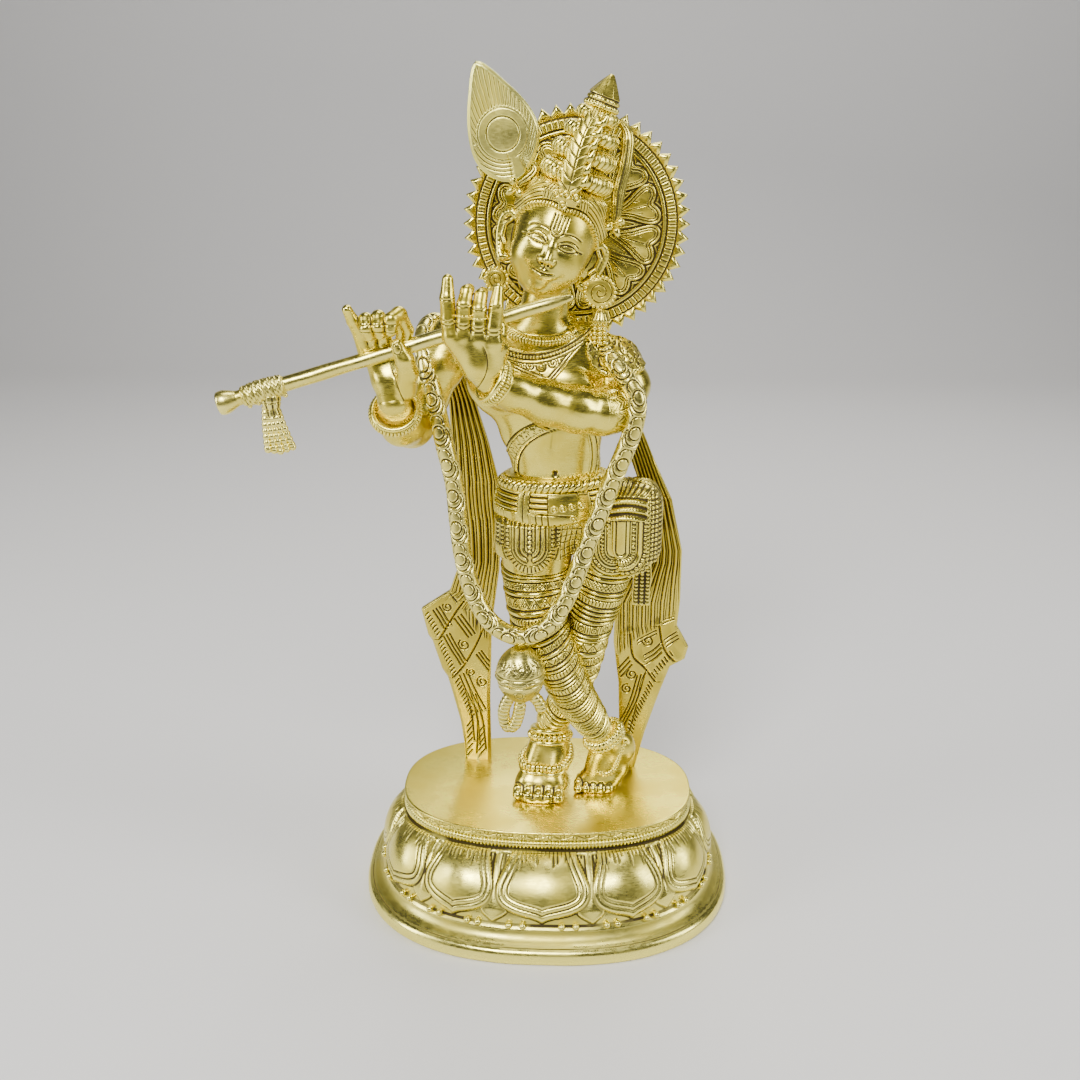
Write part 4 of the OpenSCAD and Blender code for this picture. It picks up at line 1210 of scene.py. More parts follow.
STANDING_TOES = (-3.2, -12.2, 52.8), (19.0, -0.6, 0), (-0.4, -4.9, -0.9), 2.6, (0.88, 0.98, 1.02, 1.04, 1.14)
STANDING_BONES = [
    ((1.4, 3, 82), (1.6, 3, 72), 6.6, 7.0), ((1.8, 4, 72), (3.0, 10, 55.5), 7.2, 7.2),
    ((-2, 1, 70), (-8.2, -8, 55), 6.6, 5.6), ((4.4, 1, 70), (2.6, -8, 56.5), 6.6, 6.2),
    ((-9.4, -9.5, 53.4), (4.2, -10.5, 53.6), 5.2, 5.4), ((-6, 0, 54), (4, 8, 54), 6.4, 6.6),
    ((6.6, 3.2, 73), (7.0, 3.2, 73), 2.6, 2.6), ((-4.4, 3.4, 72.5), (-4.6, 3.4, 72.5), 2.6, 2.6)]


def standing_foot(p):
    slab = sole(p, (-3.0, -7.5), (11.2, 12.2), DECK_TOP, 51.4)
    return foot_field(STANDING_BONES, *STANDING_TOES, lambda q, d: blend_min(d, slab, 1.5))(p)


def laid_on(field, points, centre, clear):
    """Points moved straight out from or in to an upright axis until they lie clear of a surface."""
    away = unit((points - vec(*centre)) * (1, 1, 0.25))
    for _ in range(25):
        points = points + away * 0.8 * (clear - field(points))[:, None]
    return points


def standing_leg():
    layout = [(3, "roll"), (3, "dash"), (2.2, "roll"), (3.2, "beads"), (2.2, "roll"), (4.2, "dash"), (2.4, "roll"),
              (2.2, "roll"), (4.2, "hatch"), (2.2, "roll"), (2.0, "roll"), (3.4, "dash"), (1.9, "roll"), (1.9, "roll"),
              (2.0, "roll"), (2.0, "roll"), (4.4, "dots"), (2.0, "roll"), (2.0, "roll"), (4.8, "teeth"), (3.0, "roll"),
              (4.2, "dots"), (2.2, "roll"), (4.0, "hatch"), (2.2, "roll"), (2.0, "roll"), (4.0, "dash"), (2.2, "roll"),
              (2.2, "roll"), (4.0, "teeth"), (2.2, "roll"), (2.2, "roll"), (4, "dash"), (2.2, "roll"), (2.2, "roll"),
              (3.4, "flat"), (2.2, "roll"), (2.2, "roll")]
    leg = limb_tube(STANDING, 340, 190, layout, 3.2, lead=5.0)
    foot = field_mesh(standing_foot, (-19, -24, 46), (16, 20, 84), 0.42)
    first, step, reach, _, sizes = STANDING_TOES
    foot = engraved(foot, nail_relief(toe_nails(first, step, reach, sizes)))
    piece("standing_leg", [leg, foot], ENGRAVED, "engraved_brass", "standing_leg")


def crossed_leg():
    layout = [(26, "none"), (2.4, "roll"), (2.6, "roll"), (4.6, "dots"), (2.6, "roll"), (5.2, "teeth"), (2.6, "roll"),
              (3.0, "dash"), (2.2, "roll"), (4.0, "hatch"), (2.2, "roll"), (3.4, "dots"), (2.2, "roll"), (3.4, "teeth"),
              (1.7, "roll"), (1.7, "roll"), (3.0, "dash"), (1.7, "roll"), (1.7, "roll"), (1.7, "roll"), (3.2, "dash"),
              (1.6, "roll"), (1.6, "roll"), (1.7, "roll"), (2.6, "hatch"), (1.6, "roll"), (1.6, "roll"), (1.6, "roll"),
              (1.6, "roll"), (2.6, "dash"), (1.6, "roll"), (1.6, "roll"), (1.6, "roll"), (1.6, "roll"), (3.0, "hatch"),
              (2.2, "roll"), (1.8, "flat")]
    leg = limb_tube(CROSSED, 380, 200, layout, 4.2, lead=1.0)
    first, step, reach, sizes = (22.8, -4.0, 52.0), (14.6, -0.4, 0), (-0.5, -4.6, -0.6), (1.15, 1.05, 1, 0.95, 0.85)
    bones = [((24, -6.6, 83), (27, -4.4, 75), 6.9, 6.2), ((27, -4, 76), (34.6, -1, 70), 6.0, 6.0),
             ((35.2, -0.6, 72.5), (35.8, -0.4, 67), 5.2, 5.4), ((35, -0.6, 69), (32.4, -0.6, 58), 5.6, 5.2),
             ((30.0, -2, 68), (27.5, -3, 55), 5.6, 5.2), ((33.0, -0.6, 58), (29, -1.8, 53.4), 5.4, 5.2),
             ((24.2, -4.4, 69), (21.5, -3.6, 55), 4.4, 4.6), ((18.6, -3.4, 52.6), (29.2, -3.2, 52.8), 4.0, 5.0)]
    field = foot_field(bones, first, step, reach, 2.1, sizes,
                       lambda p, d: blend_min(d, sole(p, (23.6, -3.6), (9.6, 6.4), DECK_TOP, 50.8), 1.2))
    foot = field_mesh(field, (12, -15, 46), (45, 10, 90), 0.42)
    foot = engraved(foot, nail_relief(toe_nails(first, step, reach, sizes), 1.3))
    piece("crossed_leg", [leg, foot], ENGRAVED, "engraved_brass", "crossed_leg")


def anklets():
    shells = [ribbed_ring((1.3, 3, 76.6), (0, 0.3, 1), 8.2, 1.5, 34, 0.0),
              ribbed_ring((1.4, 2.6, 73.7), (0, 0.3, 1), 9.0, 2.0, 24, 1.0),
              ribbed_ring((1.5, 2.2, 70.9), (0, 0.3, 1), 8.8, 1.3, 34, 0.0)]
    # Chain hanging over the instep: a fluted roll above a plain one
    for drop, size, depth in ((0, 2.0, 1.0), (-2.5, 1.0, 0.0)):
        turn = np.linspace(math.radians(35), math.radians(-215), 240)
        sag = np.stack([-2 + 10 * np.cos(turn), -1 + 9 * np.sin(turn), 64.5 + drop + 1.5 * np.sin(turn)], 1)
        sag = laid_on(standing_foot, sag, (-1.6, 0.5, 60), 0.35 * size)
        sag = np.array([np.convolve(np.pad(c, 6, "edge"), np.ones(13) / 13, "valid") for c in sag.T]).T
        shells.append(tube(sag, size, 16, lambda s, a, depth=depth: -depth * ridge(wave(s, 2.0), 1.0)))
    piece("standing_anklets", shells, FIGURE, "figure_brass", "standing_anklets")

    shells = [ribbed_ring((26.4, -4.8, 78.4), (0.55, 0.1, -1), 8.2, 2.5, 30, 0.7, twist=1),
              ribbed_ring((27.8, -4.4, 76.0), (0.55, 0.1, -1), 8.1, 1.9, 34, 0.5)]
    loop = smooth_path([(36.8, -5.6, 76), (34.0, -7.0, 68), (31.5, -7.2, 60.6), (27.5, -7.6, 58.6), (23.6, -7.0, 60.4)], 190)
    pitch = 1.5
    shells.append(tube(loop, 1.5, 14, lambda s, a: -0.5 * ridge(wave(s, pitch), 0.7)))
    piece("crossed_anklets", shells, FIGURE, "figure_brass", "crossed_anklets")


standing_leg()
crossed_leg()
anklets()


# ---- hip cloths and belt -------------------------------------------------------------

def nested_loops(x, z, centre, lines):
    """U-shaped engraving hanging round a centre: lines are (distance, kind)."""
    dx, dz = x - centre[0], np.minimum(z - centre[1], 0)
    d = np.hypot(dx, dz)
    around = np.where(dz < 0, np.arctan2(dz, dx) * 9.0, z - centre[1])
    height = 0 * d
    for r, kind in lines:
        if kind == "groove":
            height = height - 0.6 * ridge(d - r, 0.8)
        elif kind == "roll":
            height = height + 0.45 * ridge(d - r, 2.0)
        elif kind == "dash":
            inside = ramp(np.abs(d - r), 1.7, 1.3)
            height = height - 0.5 * inside * ridge(wave(around, 1.5), 0.75)
        elif kind == "beads":
            height = height + 0.65 * ramp(np.hypot(d - r, wave(around, 1.9)), 1.05, 0.3) * (np.abs(d - r) < 1.2) - \
                0.3 * ramp(np.abs(d - r), 1.4, 0.9)
    return height, d


def hip_wrap():
    def field(p):
        d = chain(p, [(-6.5, 0.5, 193, 17.2), (-6.2, -0.5, 172, 17.3), (-5.6, -1.8, 160, 16.2)], 2)
        d = blend_min(d, blob(p, (7, 3, 190), (27.5, 16.5, 17)), 5)
        d = blend_min(d, chain(p, [(26, 2.5, 192, 14.6), (25, 1.5, 166, 14.2)], 2), 4)
        front = ramp(p[:, 1], 4, -6)
        x, z = p[:, 0], p[:, 2]
        hang = np.where(x < 7, 163.2 + 0.075 * (x + 7.1) ** 2, 160.5 + 0.05 * (x - 28) ** 2)
        edge = 165.5 - 0.5 * np.cos(TAU * np.arctan2(p[:, 1], x - 6) * 11 / TAU) * (1 - front)
        d = np.maximum(d, (front * np.minimum(hang, 169) + (1 - front) * edge - z) * 0.8)
        return np.maximum(d + 4.5 * ramp(z, 184.5, 188.5), z - 196)

    def relief(p, n):
        x, y, z = p.T
        front = ramp(n[:, 1], -0.15, -0.4)
        left, d = nested_loops(x, z, (-7.1, 176), (
            (1.1, "roll"), (2.4, "groove"), (3.4, "roll"), (4.6, "groove"), (5.7, "roll"), (6.9, "groove"),
            (8.3, "groove"), (10.2, "dash"), (12.3, "groove")))
        beads_mid = 0.6 * ramp(np.hypot(x + 7.1, wave(z, 2.1)), 1.1, 0.4) * (z > 174)
        inside = d < 8.2
        side = np.abs(x + 7.1)
        column = 0.55 * ramp(np.hypot(wave(side - 10.0, 2.4), wave(z, 1.9)), 1.0, 0.35) - 0.25
        tall = np.where(z > 175, np.where(side > 8.6, column, left), left)
        left = np.where(inside & (side < 1.3), beads_mid - 0.2, tall)
        middle = -0.35 * ridge(wave(x + 0.5 * np.sin(z / 3), 2.1), 0.7) - 0.3 * ridge(wave(z, 3.1), 0.7)
        right, e = nested_loops(x, z, (30, 174), ((4, "groove"), (6, "beads"), (8, "groove"), (10.5, "beads"), (13, "groove")))
        shape = np.where(x < 6, left, np.where(x < 15, middle, right))
        turn = np.arctan2(y - 3, x - 6)
        folds = -0.5 * ridge(wave(turn * 20 + 0.12 * (z - 180) * np.sin(turn * 3), 2.9), 0.9) + \
            0.35 * np.cos(TAU * turn * 20 / 8.7 + z / 9)
        hem = -0.5 * ridge(z - 169.5, 0.8) + 0.5 * ridge(wave(turn * 20, 1.7), 1.0) * (z < 169)
        back = np.where(z > 170, folds, hem)
        return front * shape + (1 - front) * back
    mesh = field_mesh(field, (-26, -21, 158), (44, 22, 198), 0.42)
    piece("hip_wrap", [engraved(mesh, relief, 3)], ENGRAVED, "engraved_brass", "hip_wrap")


def side_cloth():
    def field(p):
        q = p - (35.5, 1.0, 181)
        x, y, z = np.abs(q / (15.0, 14.2, 20.5)).T
        d = ((x ** 3.4 + y ** 2.4 + z ** 4.5) ** (1 / 3.2) - 1) * 14
        d = blend_min(d, blob(p, (36, -3, 166), (11.5, 11.2, 9)), 2)
        cut = 26 - p[:, 0] - 0.35 * (p[:, 2] - 181)
        d = np.maximum(d, cut * 0.8)
        wavy = 160.4 + 0.9 * np.sin(p[:, 0] * 1.15) + 0.03 * (p[:, 0] - 32) ** 2
        d = np.maximum(d, (wavy - p[:, 2]) * 0.8)
        tail = np.maximum.reduce([np.abs(p[:, 0] - 42.5 - 0.3 * np.sin(p[:, 2] / 3)) - 4.2, np.abs(p[:, 1] - 4.5) - 2.4,
                                  np.abs(p[:, 2] - 156) - 15])
        return blend_min(d, tail, 0.8)

    def relief(p, n):
        x, y, z = p.T
        front = ramp(n[:, 1], 0.0, -0.3)
        loops, d = nested_loops(x, z, (32, 173.5), (
            (2.2, "groove"), (3.9, "groove"), (5.5, "beads"), (7.1, "groove"), (8.4, "roll"), (10.6, "beads"),
            (12.2, "groove")))
        strap = -0.5 * ridge(wave(z - 0.4 * x, 1.7), 0.7) + 0.2
        loops = np.where((x > 43.3) & (z > 168), strap, loops)
        folds = 0.7 * np.cos(TAU * (z - 188.4 + 0.02 * (x - 34) ** 2) / 3.7) - 0.15 * ridge(wave(x + 0.3 * z, 1.3), 0.6)
        pleat = -0.4 * ridge(wave(np.arctan2(z - 186, x - 26) * 15, 1.6), 0.7)
        loops = np.where((z > 187) & (x < 43.3), folds, loops)
        loops = np.where(z > 197.2, pleat, loops)
        ruffle = 0.5 * ramp(np.hypot(wave(x, 1.9), wave(z - 161.2, 2.1)), 1.0, 0.3) - 0.2
        loops = np.where(d > 12.6, ruffle, loops)
        tail = np.where(z < 160, 0.5 * ramp(np.hypot(wave(x - 42.5, 2.6), wave(z, 1.8)), 1.0, 0.3) - 0.25, 0)
        loops = np.where(z < 160, tail, loops)
        turn = np.arctan2(y - 1, x - 35)
        back = -0.5 * ridge(wave(turn * 14 + (z - 180) * 0.16, 2.6), 0.9) + 0.3 * np.cos(turn * 11 + z / 6)
        band = 0.5 * ridge(wave(turn * 14, 1.7), 1.1) - 0.3
        back = np.where((z < 167) & (z > 160.5), band, back)
        return front * loops + (1 - front) * np.where(z > 160, back, tail)
    mesh = field_mesh(field, (18, -16, 138), (52.5, 18, 203), 0.42)
    piece("side_cloth", [engraved(mesh, relief, 3)], ENGRAVED, "engraved_brass", "side_cloth")


def oval_stack(rows, columns, steps):
    """Loft through ovals given as (z, centre x, centre y, half width, half depth)."""
    route = smooth_path(rows, steps)
    a = np.linspace(0, TAU, columns, endpoint=False) + FRONT
    z = route[:, 0:1] + 0 * a
    x = route[:, 1:2] + route[:, 3:4] * np.cos(a)
    y = route[:, 2:3] + route[:, 4:5] * np.sin(a)
    return np.stack([x, y, z], -1), (np.arange(columns) / columns + 0.5) % 1 - 0.5


def waist_belt():
    rows = [(185.6, 3.5, 2.2, 25.2, 17.2), (187, 3.5, 2.2, 26.6, 18.4), (190, 3.3, 2.3, 26.6, 18.4),
            (196, 3, 2.4, 25.4, 17.6), (201, 2.8, 2.3, 23.4, 16.2), (204, 2.8, 2.2, 21, 14.6), (205.2, 2.8, 2.2, 18, 12.6)]
    grid, turn = oval_stack(rows, 640, 84)
    z = grid[..., 2]
    u = np.broadcast_to(turn * 140, z.shape)
    rolls = 1.3 * np.sqrt(np.clip(1 - (wave(z - 191.8, 2.4) / 0.98) ** 2, 0, 1)) - 0.8
    pills = -0.7 * ridge(wave(u, 2.2), 0.8) + 0.25
    h = np.where(z < 190.4, pills, rolls)
    h = h - 0.6 * ridge(z - 190.5, 0.7)
    tie = wave(u + 11.5, 23.5)
    tie_shape = 0.75 - 0.8 * ridge(tie, 0.8)
    h = np.where(tie < 2.2, tie_shape, h - 0.7 * ridge(tie - 2.4, 0.8))
    plate = ramp(np.abs(u - 6.4), 8.8, 8.4) * ramp(z, 186.4, 187) * ramp(z, 199.2, 198.8)
    plain = 0.2 - 0.7 * ridge(z - 190.2 + 0.12 * (u - 2), 0.8) * (u < 8) - 0.7 * ridge(np.abs(u - 6.4) - 8.6, 0.8)
    h = h * (1 - plate) + plate * plain
    bulge = 0.9 * ramp(np.abs(grid[..., 0] + 4), 16, 6) * ramp(grid[..., 1], -6, -12) * ramp(z, 202, 197)
    h = h * ramp(z, 185.6, 186.6) * ramp(z, 205, 203.4) + bulge
    grid = grid + grid_normals(grid) * h[..., None]
    shells = [shell(capped(grid))]

    # Twisted roll along the upper edge
    a = np.linspace(0, TAU, 900, endpoint=False) + FRONT
    lift = 201.6 + 1.2 * np.cos(a + math.pi / 2 - 0.9)
    path = np.stack([3 + 22.6 * np.cos(a), 1.9 + 16.0 * np.sin(a), lift], 1)
    pitch = arc_length(path, True)[1] / 46
    shells.append(tube(path, 2.5, 18, lambda s, t: -0.9 * ridge(wave(s + 1.0 * t, pitch), 1.0), loop=True, up=(0, 0, 1)))

    front = grid[grid[..., 1] < -3]

    def on_belt(x, z):
        return front[np.argmin((front[:, 0] - x) ** 2 + (front[:, 2] - z) ** 2)] + (0, -0.2, 0)
    for x, z in ((3.3, 193.4), (7.0, 193.6), (11.0, 193.8), (14.8, 194.3), (11.6, 189.0)):
        spot = on_belt(x, z)
        shells.append(tube(ring_path(spot, (0.25 * (x - 3) / 12, -1, 0.1), 1.3, 22), 0.5, 8, loop=True, up=(0, -1, 0.01)))
        shells.append(bead(spot, 0.85))
    for k in range(4):
        shells.append(bead(on_belt(12.6, 185.2 - 1.9 * k) + (0, 0.5 * k, 0), 1.25 - 0.12 * k))

    piece("waist_belt", shells, ENGRAVED, "engraved_brass", "waist_belt")


hip_wrap()
side_cloth()
waist_belt()


# ---- torso and arms --------------------------------------------------------------------

def least(distances, k):
    out = distances[0]
    for d in distances[1:]:
        out = blend_min(out, d, k)
    return out


def torso_field(p):
    body = least([blob(p, (-4.5, 2, 245), (30.5, 14.2, 21)), blob(p, (1, 1.8, 226), (22.5, 13.2, 20)),
                  blob(p, (3.8, 2.5, 208), (18.8, 12.8, 20)), blob(p, (2.6, 3, 194), (20, 14, 14))], 5)
    breast = least([blob(p, (-16, -8.5, 244), (12.5, 5, 9)), blob(p, (8, -9, 242.5), (12.5, 5, 9))], 2)
    body = blend_min(body, breast, 4)
    shoulders = chain(p, [(-38, 3, 258.5, 9.4), (-20, 3.5, 261, 9.4), (-4, 3, 263, 10), (12, 3.5, 260, 9), (25, 3, 253, 8.6)], 4)
    body = blend_min(body, shoulders, 4)
    return blend_min(body, bone(p, (-3.6, 3, 262), (0, 2.6, 286), 11, 9.4), 4)


RIGHT_ARM = [(-40, 3, 261.5, 10.4), (-45.5, 0, 252, 10.2), (-52, -4, 238, 9.4), (-57.5, -8, 227.4, 9.2),
             (-60, -18, 230, 8.4), (-60.3, -28, 238, 7.0), (-60.3, -33, 243, 6.3)]
LEFT_ARM = [(27.5, 3, 251.5, 10.2), (33, -1, 243.5, 9.7), (31, -8, 237, 9.0), (23, -14.6, 235.4, 9.3),
            (12, -20, 238, 9.5), (0, -25.6, 242, 8.9), (-12, -32, 247.6, 7.5), (-20.5, -37, 253, 6.1)]


def torso():
    def relief(p, n):
        x, y, z = p.T
        front = ramp(n[:, 1], 0.2, -0.1)
        # Ornamented band over the lower ribs
        v = (x + 11.5) * 0.86 - (z - 221.6) * 0.5
        w = (x + 11.5) * 0.5 + (z - 221.6) * 0.86
        v = v - 0.03 * (w + 3) ** 2
        across = np.abs(v) - 2.9
        band = ramp(across, 0.3, -0.3) * ramp(w, -15, -14) * ramp(w, 11, 10)
        zig = wave(w, 2.6) / 1.3 * 3.2 - 1.6
        shape = 0.9 - 0.45 * ridge(v - zig, 0.9) - 0.55 * ridge(np.abs(v) - 1.95, 0.55)
        h = band * shape - 0.25 * ridge(across - 0.6, 0.8)
        # Cloth folds at the right of the waist
        fold = x - 23.5 + 0.035 * (z - 214) ** 2 * 0.4
        h += front * ramp(fold, -5.5, -4.5) * ramp(z, 226, 222) * (0.5 - 0.6 * ridge(wave(fold, 2.3), 0.8))
        navel = np.hypot(x - 3.5, (z - 207.2) * 0.8)
        h -= front * 0.9 * ramp(navel, 1.7, 0.3)
        h -= front * 0.35 * ridge(x - 2.2 - 0.1 * (z - 225), 5) * ramp(z, 214, 220) * ramp(z, 240, 236)
        spine = ramp(n[:, 1], 0.3, 0.7) * 1.3 * ridge(x - 0.5, 9)
        return h - spine + 0.12 * noise(p, 16, 6)
    mesh = field_mesh(torso_field, (-52, -18, 184), (40, 22, 292), 0.5)
    piece("torso", [engraved(mesh, relief, 2)], FIGURE, "figure_brass", "torso")


def arm(name, points, low, high):
    def field(p):
        return chain(p, points, 3.0)
    mesh = field_mesh(field, low, high, 0.5)
    piece(name, [engraved(mesh, lambda p, n: 0.14 * noise(p, 18, 9) + 0.05 * noise(p, 5, 3))], FIGURE, "figure_brass", name)


# ---- hands -------------------------------------------------------------------------------

def finger_marks(fingers, low, high):
    """Creases across each finger: fingers are (x, crease heights)."""
    def relief(p, n):
        x, y, z = p.T
        h = np.zeros(len(p))
        for centre, half, heights in fingers:
            near = ramp(np.abs(x - centre), half + 0.4, half - 0.2)
            for level in heights:
                sag = level + 0.10 * (x - centre) ** 2
                h -= 0.38 * near * ridge(z - sag, 0.65)
        return h * ramp(z, low, low + 1) * ramp(z, high, high - 1)
    return relief


def left_hand():
    fingers = [[(-35.6, -42, 271, 3.2), (-36.4, -42.4, 278, 3.1), (-36.7, -42.2, 286, 2.9), (-36.5, -41.0, 292.6, 2.1)],
               [(-30.6, -42.2, 271, 3.1), (-30.6, -43.0, 277, 3.0), (-30.3, -43.2, 283.6, 2.9), (-29.4, -40.6, 288.2, 2.5),
                (-28.8, -37.4, 288.6, 2.1)],
               [(-24.8, -42.2, 270, 3.1), (-24.9, -43.2, 276, 3.0), (-24.6, -43.4, 282, 2.9), (-24.0, -41.0, 286.8, 2.5),
                (-23.6, -37.6, 287.4, 2.1)],
               [(-19.4, -42, 268, 3.1), (-19.2, -42.8, 275, 3.0), (-18.2, -42.6, 283, 2.8), (-17.4, -41.0, 289.4, 2.1)]]
    thumb = [(-19.5, -38.5, 258, 4.2), (-17.6, -38, 266, 3.6), (-18.0, -35, 274, 2.9), (-19.5, -33.4, 280, 2.2)]

    def field(p):
        palm = least([chain(p, [(-20.8, -37.2, 253.2, 6.0), (-26, -39.5, 260, 5.9)], 2),
                      bone(p, (-27, -39.6, 260), (-35.3, -42, 271.4), 5.4, 3.9), bone(p, (-26, -40, 260), (-30.4, -42, 271), 5.2, 3.8),
                      bone(p, (-24, -40, 260), (-24.8, -42, 270), 5.2, 3.8), bone(p, (-21.6, -39.6, 259), (-19.5, -41.6, 269), 5.0, 3.8)], 2)
        d = blend_min(palm, chain(p, thumb, 1.5), 2.0)
        hand = None
        for points in fingers:
            f = chain(p, points, 0.6)
            hand = f if hand is None else blend_min(hand, f, 0.45)
        return blend_min(d, hand, 1.2)
    mesh = field_mesh(field, (-44, -49, 245), (-12, -27, 298), 0.38)
    marks = finger_marks([(-36.4, 2.8, (276, 277.6, 285.4)), (-30.5, 2.7, (274.6, 276.2, 283)),
                          (-24.8, 2.7, (273.6, 275.2, 282)), (-19.0, 2.7, (272, 273.6, 283))], 268, 293)

    def relief(p, n):
        crease = p[:, 0] + 21.6 + 0.04 * (p[:, 2] - 262) ** 2
        return marks(p, n) - 0.3 * ridge(crease, 1.1) * ramp(p[:, 2], 270, 266) * (p[:, 1] < -38) + 0.06 * noise(p, 9, 2)
    shells = [engraved(mesh, relief)]
    for x, z in ((-30.6, 279.6), (-24.9, 278.6)):
        shells.append(ribbed_ring((x, -42.9, z), (0, 0, 1), 3.05, 0.6, 12, 0.25))
    piece("left_hand", shells, FIGURE, "figure_brass", "left_hand")


def right_hand():
    fingers = [[(-70.4, -31.5, 262, 3.3), (-72.2, -33, 270, 2.9), (-74.2, -36, 276, 2.6), (-75.8, -38.2, 280.6, 2.0)],
               [(-67.6, -31, 264, 3.1), (-68.6, -33, 272.6, 3.0), (-69.0, -37.2, 276.6, 2.9), (-68.6, -40.2, 273.8, 2.5), (-67.6, -39.6, 270.6, 2.0)],
               [(-62.8, -31, 265, 3.1), (-63.6, -33, 274, 3.0), (-64.0, -37.4, 277.6, 2.9), (-63.8, -40.4, 274.6, 2.5), (-63.2, -39.6, 271.2, 2.0)],
               [(-56.6, -31.5, 262, 3.4), (-54.6, -33, 272, 3.3), (-56.2, -36.6, 278.6, 3.2), (-58.6, -40.0, 277.4, 2.8), (-58.9, -40.6, 273, 2.3)]]
    thumb = [(-55.6, -34, 249, 5.0), (-53.6, -37.4, 256, 4.1), (-54.2, -40.4, 262, 3.7), (-56.6, -41.2, 267.6, 2.7)]

    def field(p):
        palm = least([bone(p, (-60.4, -33, 242.6), (-61.8, -31.6, 252), 6.2, 6.2), bone(p, (-64, -31.4, 252), (-68.4, -30.6, 264), 5.4, 3.9),
                      bone(p, (-62, -31, 252), (-63, -30.4, 264.4), 5.2, 3.9), bone(p, (-59, -31.4, 252), (-57, -31, 262), 5.4, 4.2)], 2)
        d = blend_min(palm, chain(p, thumb, 1.2), 1.6)
        hand = None
        for points in fingers:
            f = chain(p, points, 0.6)
            hand = f if hand is None else blend_min(hand, f, 0.4)
        return blend_min(d, hand, 0.9)
    mesh = field_mesh(field, (-81, -46, 233), (-47, -23, 286), 0.38)

    def relief(p, n):
        x, y, z = p.T
        h = 0.06 * noise(p, 9, 2)
        for centre in (-68.8, -63.8, -58.8):
            h -= 0.35 * ramp(np.abs(x - centre), 2.6, 2.0) * (ridge(z - 275.6, 0.7) + ridge(z - 272.6, 0.6)) * (y < -37)
        nail = np.hypot((x + 56.3) / 1.5, (z - 266.8) / 2.1)
        h += (y < -41) * (0.2 * ramp(nail, 1, 0.8) - 0.35 * ridge(nail - 1.1, 0.4))
        line = (x + 58) + 0.35 * (z - 252)
        return h - 0.35 * ridge(line, 1.1) * (y < -33) * ramp(z, 262, 258)
    piece("right_hand", [engraved(mesh, relief)], FIGURE, "figure_brass", "right_hand")


def bangle(name, centre, axis, radius, width):
    axis = unit(vec(*axis))
    centre = vec(*centre)
    shells = []
    path = ring_path(centre, axis, radius, 420)
    pitch = TAU * radius / 44
    shells.append(tube(path, 1.9, 22, lambda s, a: -0.55 * ridge(wave(s, pitch), 0.75) * ramp(np.abs(np.cos(a)), 0.96, 0.85),
                       loop=True, up=axis, flat=width / 3.8))
    for side in (-1, 1):
        edge = ring_path(centre + axis * side * width * 0.5, axis, radius - 0.2, 120)
        shells.append(tube(edge, 1.05, 12, loop=True, up=axis))
    piece(name, shells, ENGRAVED, "engraved_brass", name)


def left_armlet():
    def leaf(s, a):
        u = a * 9.8
        h = 0.3 - 0.5 * ridge(s - 0.9, 0.6) - 0.5 * ridge(s - 8.3, 0.6)
        stem = ridge(wave(u, 5.4), 0.6)
        veins = ridge(wave(s - 0.9 * wave(u, 5.4), 1.7), 0.6) * ramp(wave(u, 5.4), 0.4, 0.8)
        return h - 0.5 * (stem + veins) * ramp(s, 1.2, 1.7) * ramp(s, 8.0, 7.5)
    path = smooth_path([(20.6, -15.7, 235.9), (24.6, -13.4, 235.6), (28.4, -10.2, 236.2)], 60)
    piece("left_armlet", [tube(path, 9.85, 240, leaf, up=(0, -0.3, 1))], ENGRAVED, "engraved_brass", "left_armlet")


def on_front(field, xs, zs, start=-30.0, end=4.0):
    """Where lines along Y first meet a solid's front."""
    y = np.full(len(xs), start)
    for _ in range(40):
        d = field(np.stack([xs, y, zs], 1))
        y = np.minimum(y + d * 0.7, end)
    return np.stack([xs, y, zs], 1)


